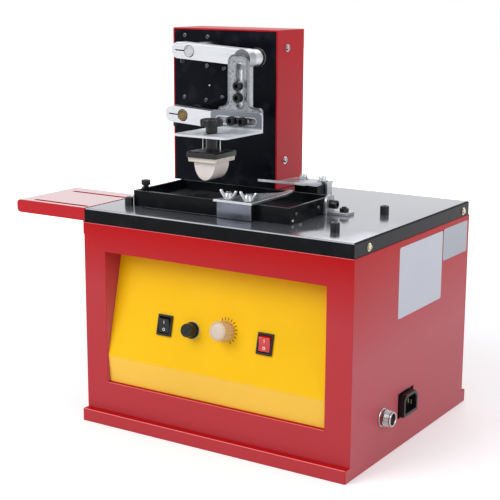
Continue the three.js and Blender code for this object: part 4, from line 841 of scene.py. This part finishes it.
edge_steps = [(edge * (1 - math.sin(a)), half_deep - edge * (1 - math.cos(a)))
              for a in (math.pi / 2 * k / 4 for k in range(5))]
pad_sections = [(pad_section(inward), -depth) for inward, depth in edge_steps]
pad_sections += [(pad_section(inward), depth) for inward, depth in reversed(edge_steps)]
loft(pad, pad_sections, set_at(at(pad_x, pad_y, 0), (0, 1, 0), (-1, 0, 0)))
bmesh.ops.recalc_face_normals(pad, faces=pad.faces)
settle(pad, "printing_pad_cast", "pad_slide", silicone, ["printing_pad"], 50)


# Ink tray: a shallow black box on the lid with a dark etched plate in it. A ribbed black thumb screw
# holds it on the left, and a bent steel clip with a cap screw and a nut on the right.
# A grey painted highlight lies on the tray's edges turned to the front and up.
tray_black = surface("tray_black_enamel", (0.005, 0.0055, 0.007), 0.2, specular=0.06, drift=0.12,
                     gloss_drift=0.35, patch=40.0, skin_depth=0.015, dusty=0.15,
                     dust_colour=(0.06, 0.062, 0.07),
                     painted_light_veils=(((0.22, 0.225, 0.24), 0.7, front_edge, 0.85, *whole_height),))
rounded_copy("ink_tray", tray_black, 0.5)
inked_steel = surface("inked_steel", (0.035, 0.037, 0.043), 0.3, metallic=0.75, drift=0.3, gloss_drift=0.4,
                      patch=30.0, skin_size=1400.0, skin_depth=0.01, dusty=0.25,
                      dust_colour=(0.1, 0.1, 0.11))
rounded_copy("etched_plate", inked_steel, 0.5)

thumb = bmesh.new()
turned(thumb, [(0, -5.1), (2.2, -5.1), (2.2, 0.3), (2.8, 0.35), (2.8, 2.1), (4.2, 2.1), (4.6, 2.6, 1),
               (4.6, 6.6, 1), (4.2, 7.1), (2.4, 7.1), (2.1, 6.7), (0, 6.7)],
       set_at(at(30.1, 61.7, 232.4)), 126, 18, 0.5)
settle(thumb, "tray_screw_moulded", "tray_screw", black_moulding, ["tray_screw"], 45)

clip_steel = surface("clip_steel", (0.4, 0.41, 0.43), 0.36, metallic=0.7, drift=0.14, patch=60.0)
rounded_copy("tray_clip", clip_steel, 0.4)
repeated("tray_clip_screw", socket_head(4.2, 7.5), [on_right(111.3, 226, 214.6)], "base", black_oxide)
hex_nut = bmesh.new()
loft(hex_nut, [(hexagon(4.6), 0), (hexagon(5.0), 0.4), (hexagon(5.0), 3.2), (hexagon(4.4), 3.7),
               (disc(2.6, 36), 3.7), (disc(2.3, 36), 3.2), (disc(2.3, 36), 4.6), (disc(1.9, 36), 5.0)],
     Matrix.Scale(mm, 4))
repeated("tray_clip_nut", hex_nut, [set_at(at(229.5, 111.3, 220))], "base", black_oxide,
         sharp=25)


# Rails under the lid and the capped bolts over them. The bolts are black steel in moulded caps, and
# carry the rails' end supports.
repeated("rail_bolts", socket_head(4.3, 8.6, socket=0.5, chamfer=0.6, shank=2.5, shank_length=9),
         [set_at(at(x, y, lid_top)) for x in (28.8, 261) for y in (35.8, 134.2)], "base", black_moulding,
         ["rail_bolt_1", "rail_bolt_2", "rail_bolt_3", "rail_bolt_4"])


# Cup carriage: steel and black brackets on the rails come up through the lid and hold two bent arms
# of bright sheet, the front one under wing nuts and the rear one under hexagon bolts. The small cheek
# lies inside the front bracket and doesn't show.
# The front bracket's steel carries painted light: a pale painted highlight on the edges turned to the front
# and up, and its right faces painted lighter, a painted sheen.
mirror_steel = surface("mirror_steel", (0.105, 0.112, 0.135), 0.2, metallic=1.0, drift=0.35, gloss_drift=0.4,
                       patch=60.0, skin_size=700.0,
                       painted_light_veils=(((0.6, 0.62, 0.66), 0.9, front_edge, 0.8, *whole_height),
                              ((0.3, 0.31, 0.34), 0.9, (1, 0, 0), 0.8, *whole_height)))
sheet_steel = surface("sheet_steel", (0.42, 0.435, 0.46), 0.3, metallic=0.85, drift=0.14, gloss_drift=0.35,
                      patch=34.0, skin_size=1500.0, skin_depth=0.012, stretch=(1.0, 0.2, 1.0))
rounded_copy("front_cup_bracket", mirror_steel, 0.5)
rounded_copy("front_cup_arm", sheet_steel, 0.35)
cheek = bmesh.new()
prism(cheek, block(173.4, 174.9, 32.0, 39.0), 217.7, 232.7, set_at(at(0, 0, 0)))
round_edges(settle(cheek, "front_bracket_cheek", "carriage", clip_steel), 0.3, 2)
# The rear block takes the lid's enamel, with its painted edge highlight, painted right-side sheen and
# painted grazing sheen.
rounded_copy("rear_cup_block", gloss_black, 0.6)
rounded_copy("rear_cup_arm", sheet_steel, 0.35)
bolt_head = bmesh.new()
loft(bolt_head, [(disc(5.2, 36), 0), (disc(5.2, 36), 0.8), (hexagon(4.5), 0.8), (hexagon(4.5), 3.9),
                 (disc(3.7, 36), 4.5)], Matrix.Scale(mm, 4))
repeated("rear_arm_bolts", bolt_head, [set_at(at(x, 151, 240.2)) for x in (161.4, 183.4)],
         "carriage", bright_steel, sharp=25)
# Each wing nut is a turned hub with two ears, lofted through (height, inner and outer end, half thickness)
ear_steps = ((236.2, 1.6, 5.2, 1.7), (238.2, 2.8, 6.4, 1.6), (240.4, 4.8, 8.4, 1.4), (242.2, 6.2, 9.5, 1.2),
             (243.4, 6.9, 9.7, 1.0), (243.9, 7.5, 9.2, 0.6))
for number, nut_x in (("1", 147.2), ("2", 169.2)):
    nut = "wing_nut_" + number
    wing_nut = bmesh.new()
    over_stud = set_at(at(nut_x, 35.2, 0))
    turned(wing_nut, [(2.2, 235.6), (4.5, 235.6), (4.5, 236.3), (3.5, 241), (3.1, 241.5), (2.5, 241.5),
                      (2.2, 241)], over_stud, 48)
    for half_turn in (0, math.pi):
        loft(wing_nut, [(rounded_block(x0, x1, -thick, thick, min(thick, (x1 - x0) / 2) * 0.9), z)
                        for z, x0, x1, thick in ear_steps], over_stud @ Matrix.Rotation(half_turn, 4, "Z"))
    settle(wing_nut, "wing_nut_shaped_" + number, nut, sheet_steel, [nut], 40)


# Small pan head screws with cross slots hold the tower's panel, its sides, the lid and the tray's
# end. Those on the sides of the tower and of the lid have washers of their own.
def cross(length, width, steps=48):
    """A cross-shaped slot with as many points as the round outlines of the head."""
    def reach(angle):
        short_side, long_side = sorted((abs(math.cos(angle)), abs(math.sin(angle))))
        return min(length / long_side, width / short_side)

    return around(reach, steps, math.pi / steps)


def pan_head(washer=0.0):
    shape = bmesh.new()
    foot = 0.5 if washer else 0.0
    rounds = [(washer, -0.1), (washer, foot)] if washer else []
    rounds += [(2.6, foot), (2.6, foot + 0.8), (2.3, foot + 1.4), (1.85, foot + 1.75)]
    sections = [(disc(radius, 48, math.pi / 48), height) for radius, height in rounds]
    sections += [(cross(1.35, 0.34), foot + 1.8), (cross(1.1, 0.26), foot + 1.0)]
    loft(shape, sections, Matrix.Scale(mm, 4))
    return shape


def screw_at(place, along=forward, twist=0.0):
    across = (0, 1, 0) if abs(along[0]) > 0.5 else (1, 0, 0)
    return set_at(at(*place), along, across) @ Matrix.Rotation(math.radians(twist), 4, "Z")


dull_screw = surface("dull_screw", (0.09, 0.095, 0.105), 0.35, metallic=0.9, drift=0.2, patch=200.0,
                     skin_depth=0.008)
gold_screw = surface("passivated_screw", (0.6, 0.55, 0.42), 0.22, metallic=1.0, drift=0.15, patch=200.0,
                     skin_depth=0.008)
right, left, back, up = (1, 0, 0), (-1, 0, 0), (0, 1, 0), (0, 0, 1)
tower_front, tower_right, tower_left, tray_end = 196.2, 101.9, -32.6, 211.6
upper_screw, lower_screw = (216, 366), (213, 247)
panel_screws = [(-16, 377), (14, 376), (13, 345), (35, 343), (-17, 310), (12, 308), (33, 312)]
for name, washer, scale, finish, slot, places in (
        ("tower_panel_screws", 0.0, 1.0, dull_screw, "black_steel",
         [((x, tower_front, z), forward, 23 * k) for k, (x, z) in enumerate(panel_screws)]),
        ("bright_screws", 4.1, 1.0, bright_steel, "steel",
         [((tower_right, *upper_screw), right, 20), ((tower_right, *lower_screw), right, 65),
          ((tower_left, *upper_screw), left, 50), ((tower_left, *lower_screw), left, 5)]),
        ("lid_side_screws", 3.8, 1.0, gold_screw, "steel",
         [((299.2, 28, 209), right, 10), ((299.2, 236, 208.4), right, 50), ((0.8, 28, 209), left, 35),
          ((170, 250.2, 209), back, 65), ((280, 250.2, 209), back, 25)]),
        ("tray_side_screws", 0.0, 0.8, dull_screw, "black_steel",
         [((tray_end, 50.5, 225), right, 30), ((tray_end, 92, 225), right, 75)]),
        ("tray_foot_screw", 0.0, 0.65, bright_steel, "steel", [((tray_end, 44.5, 219.6), right, 40)]),
        ("tower_rivet", 0.0, 0.45, bright_steel, "steel", [((16, tower_front, 324),)]),
        ("lid_top_screws", 0.0, 0.7, dull_screw, "black_steel",
         [((219, 46, lid_top), up, 20), ((14, 120, lid_top), up, 50)])):
    repeated(name, pan_head(washer), [screw_at(*place) for place in places], "base", finish, sharp=40,
             scale=scale)

# The dark washers of the tower's sides have no width, because their frame's X lies along its Z. They
# are kept as they are, and show nothing.
washers = bmesh.new()
for side, x in ((right, tower_right), (left, tower_left)):
    for y, z in (upper_screw, lower_screw):
        prism(washers, disc(4.9, 36), -0.1, 0.35, set_at(at(x, y, z), side))
settle(washers, "tower_side_washers", "base", dull_screw)


# Inside: motors, gears, rails, their supports and the control board. They keep the frame's own meshes
# and get finishes like those of the real parts.
board_green = surface("solder_mask", (0.012, 0.09, 0.035), 0.3, specular=0.4, drift=0.15, patch=120.0,
                      coat=0.3)
for finish, kept in (
        (bright_steel, ("front_rail", "rear_rail", "swing_pinion", "drive_pinion", "speed_pot")),
        (black_oxide, ("left_rail_support", "right_rail_support", "swing_motor", "drive_motor")),
        (link_metal, ("carriage_frame",)),
        (board_green, ("control_board",))):
    for node in kept:
        for material_slot in nodes[node].material_slots:
            material_slot.material = finish
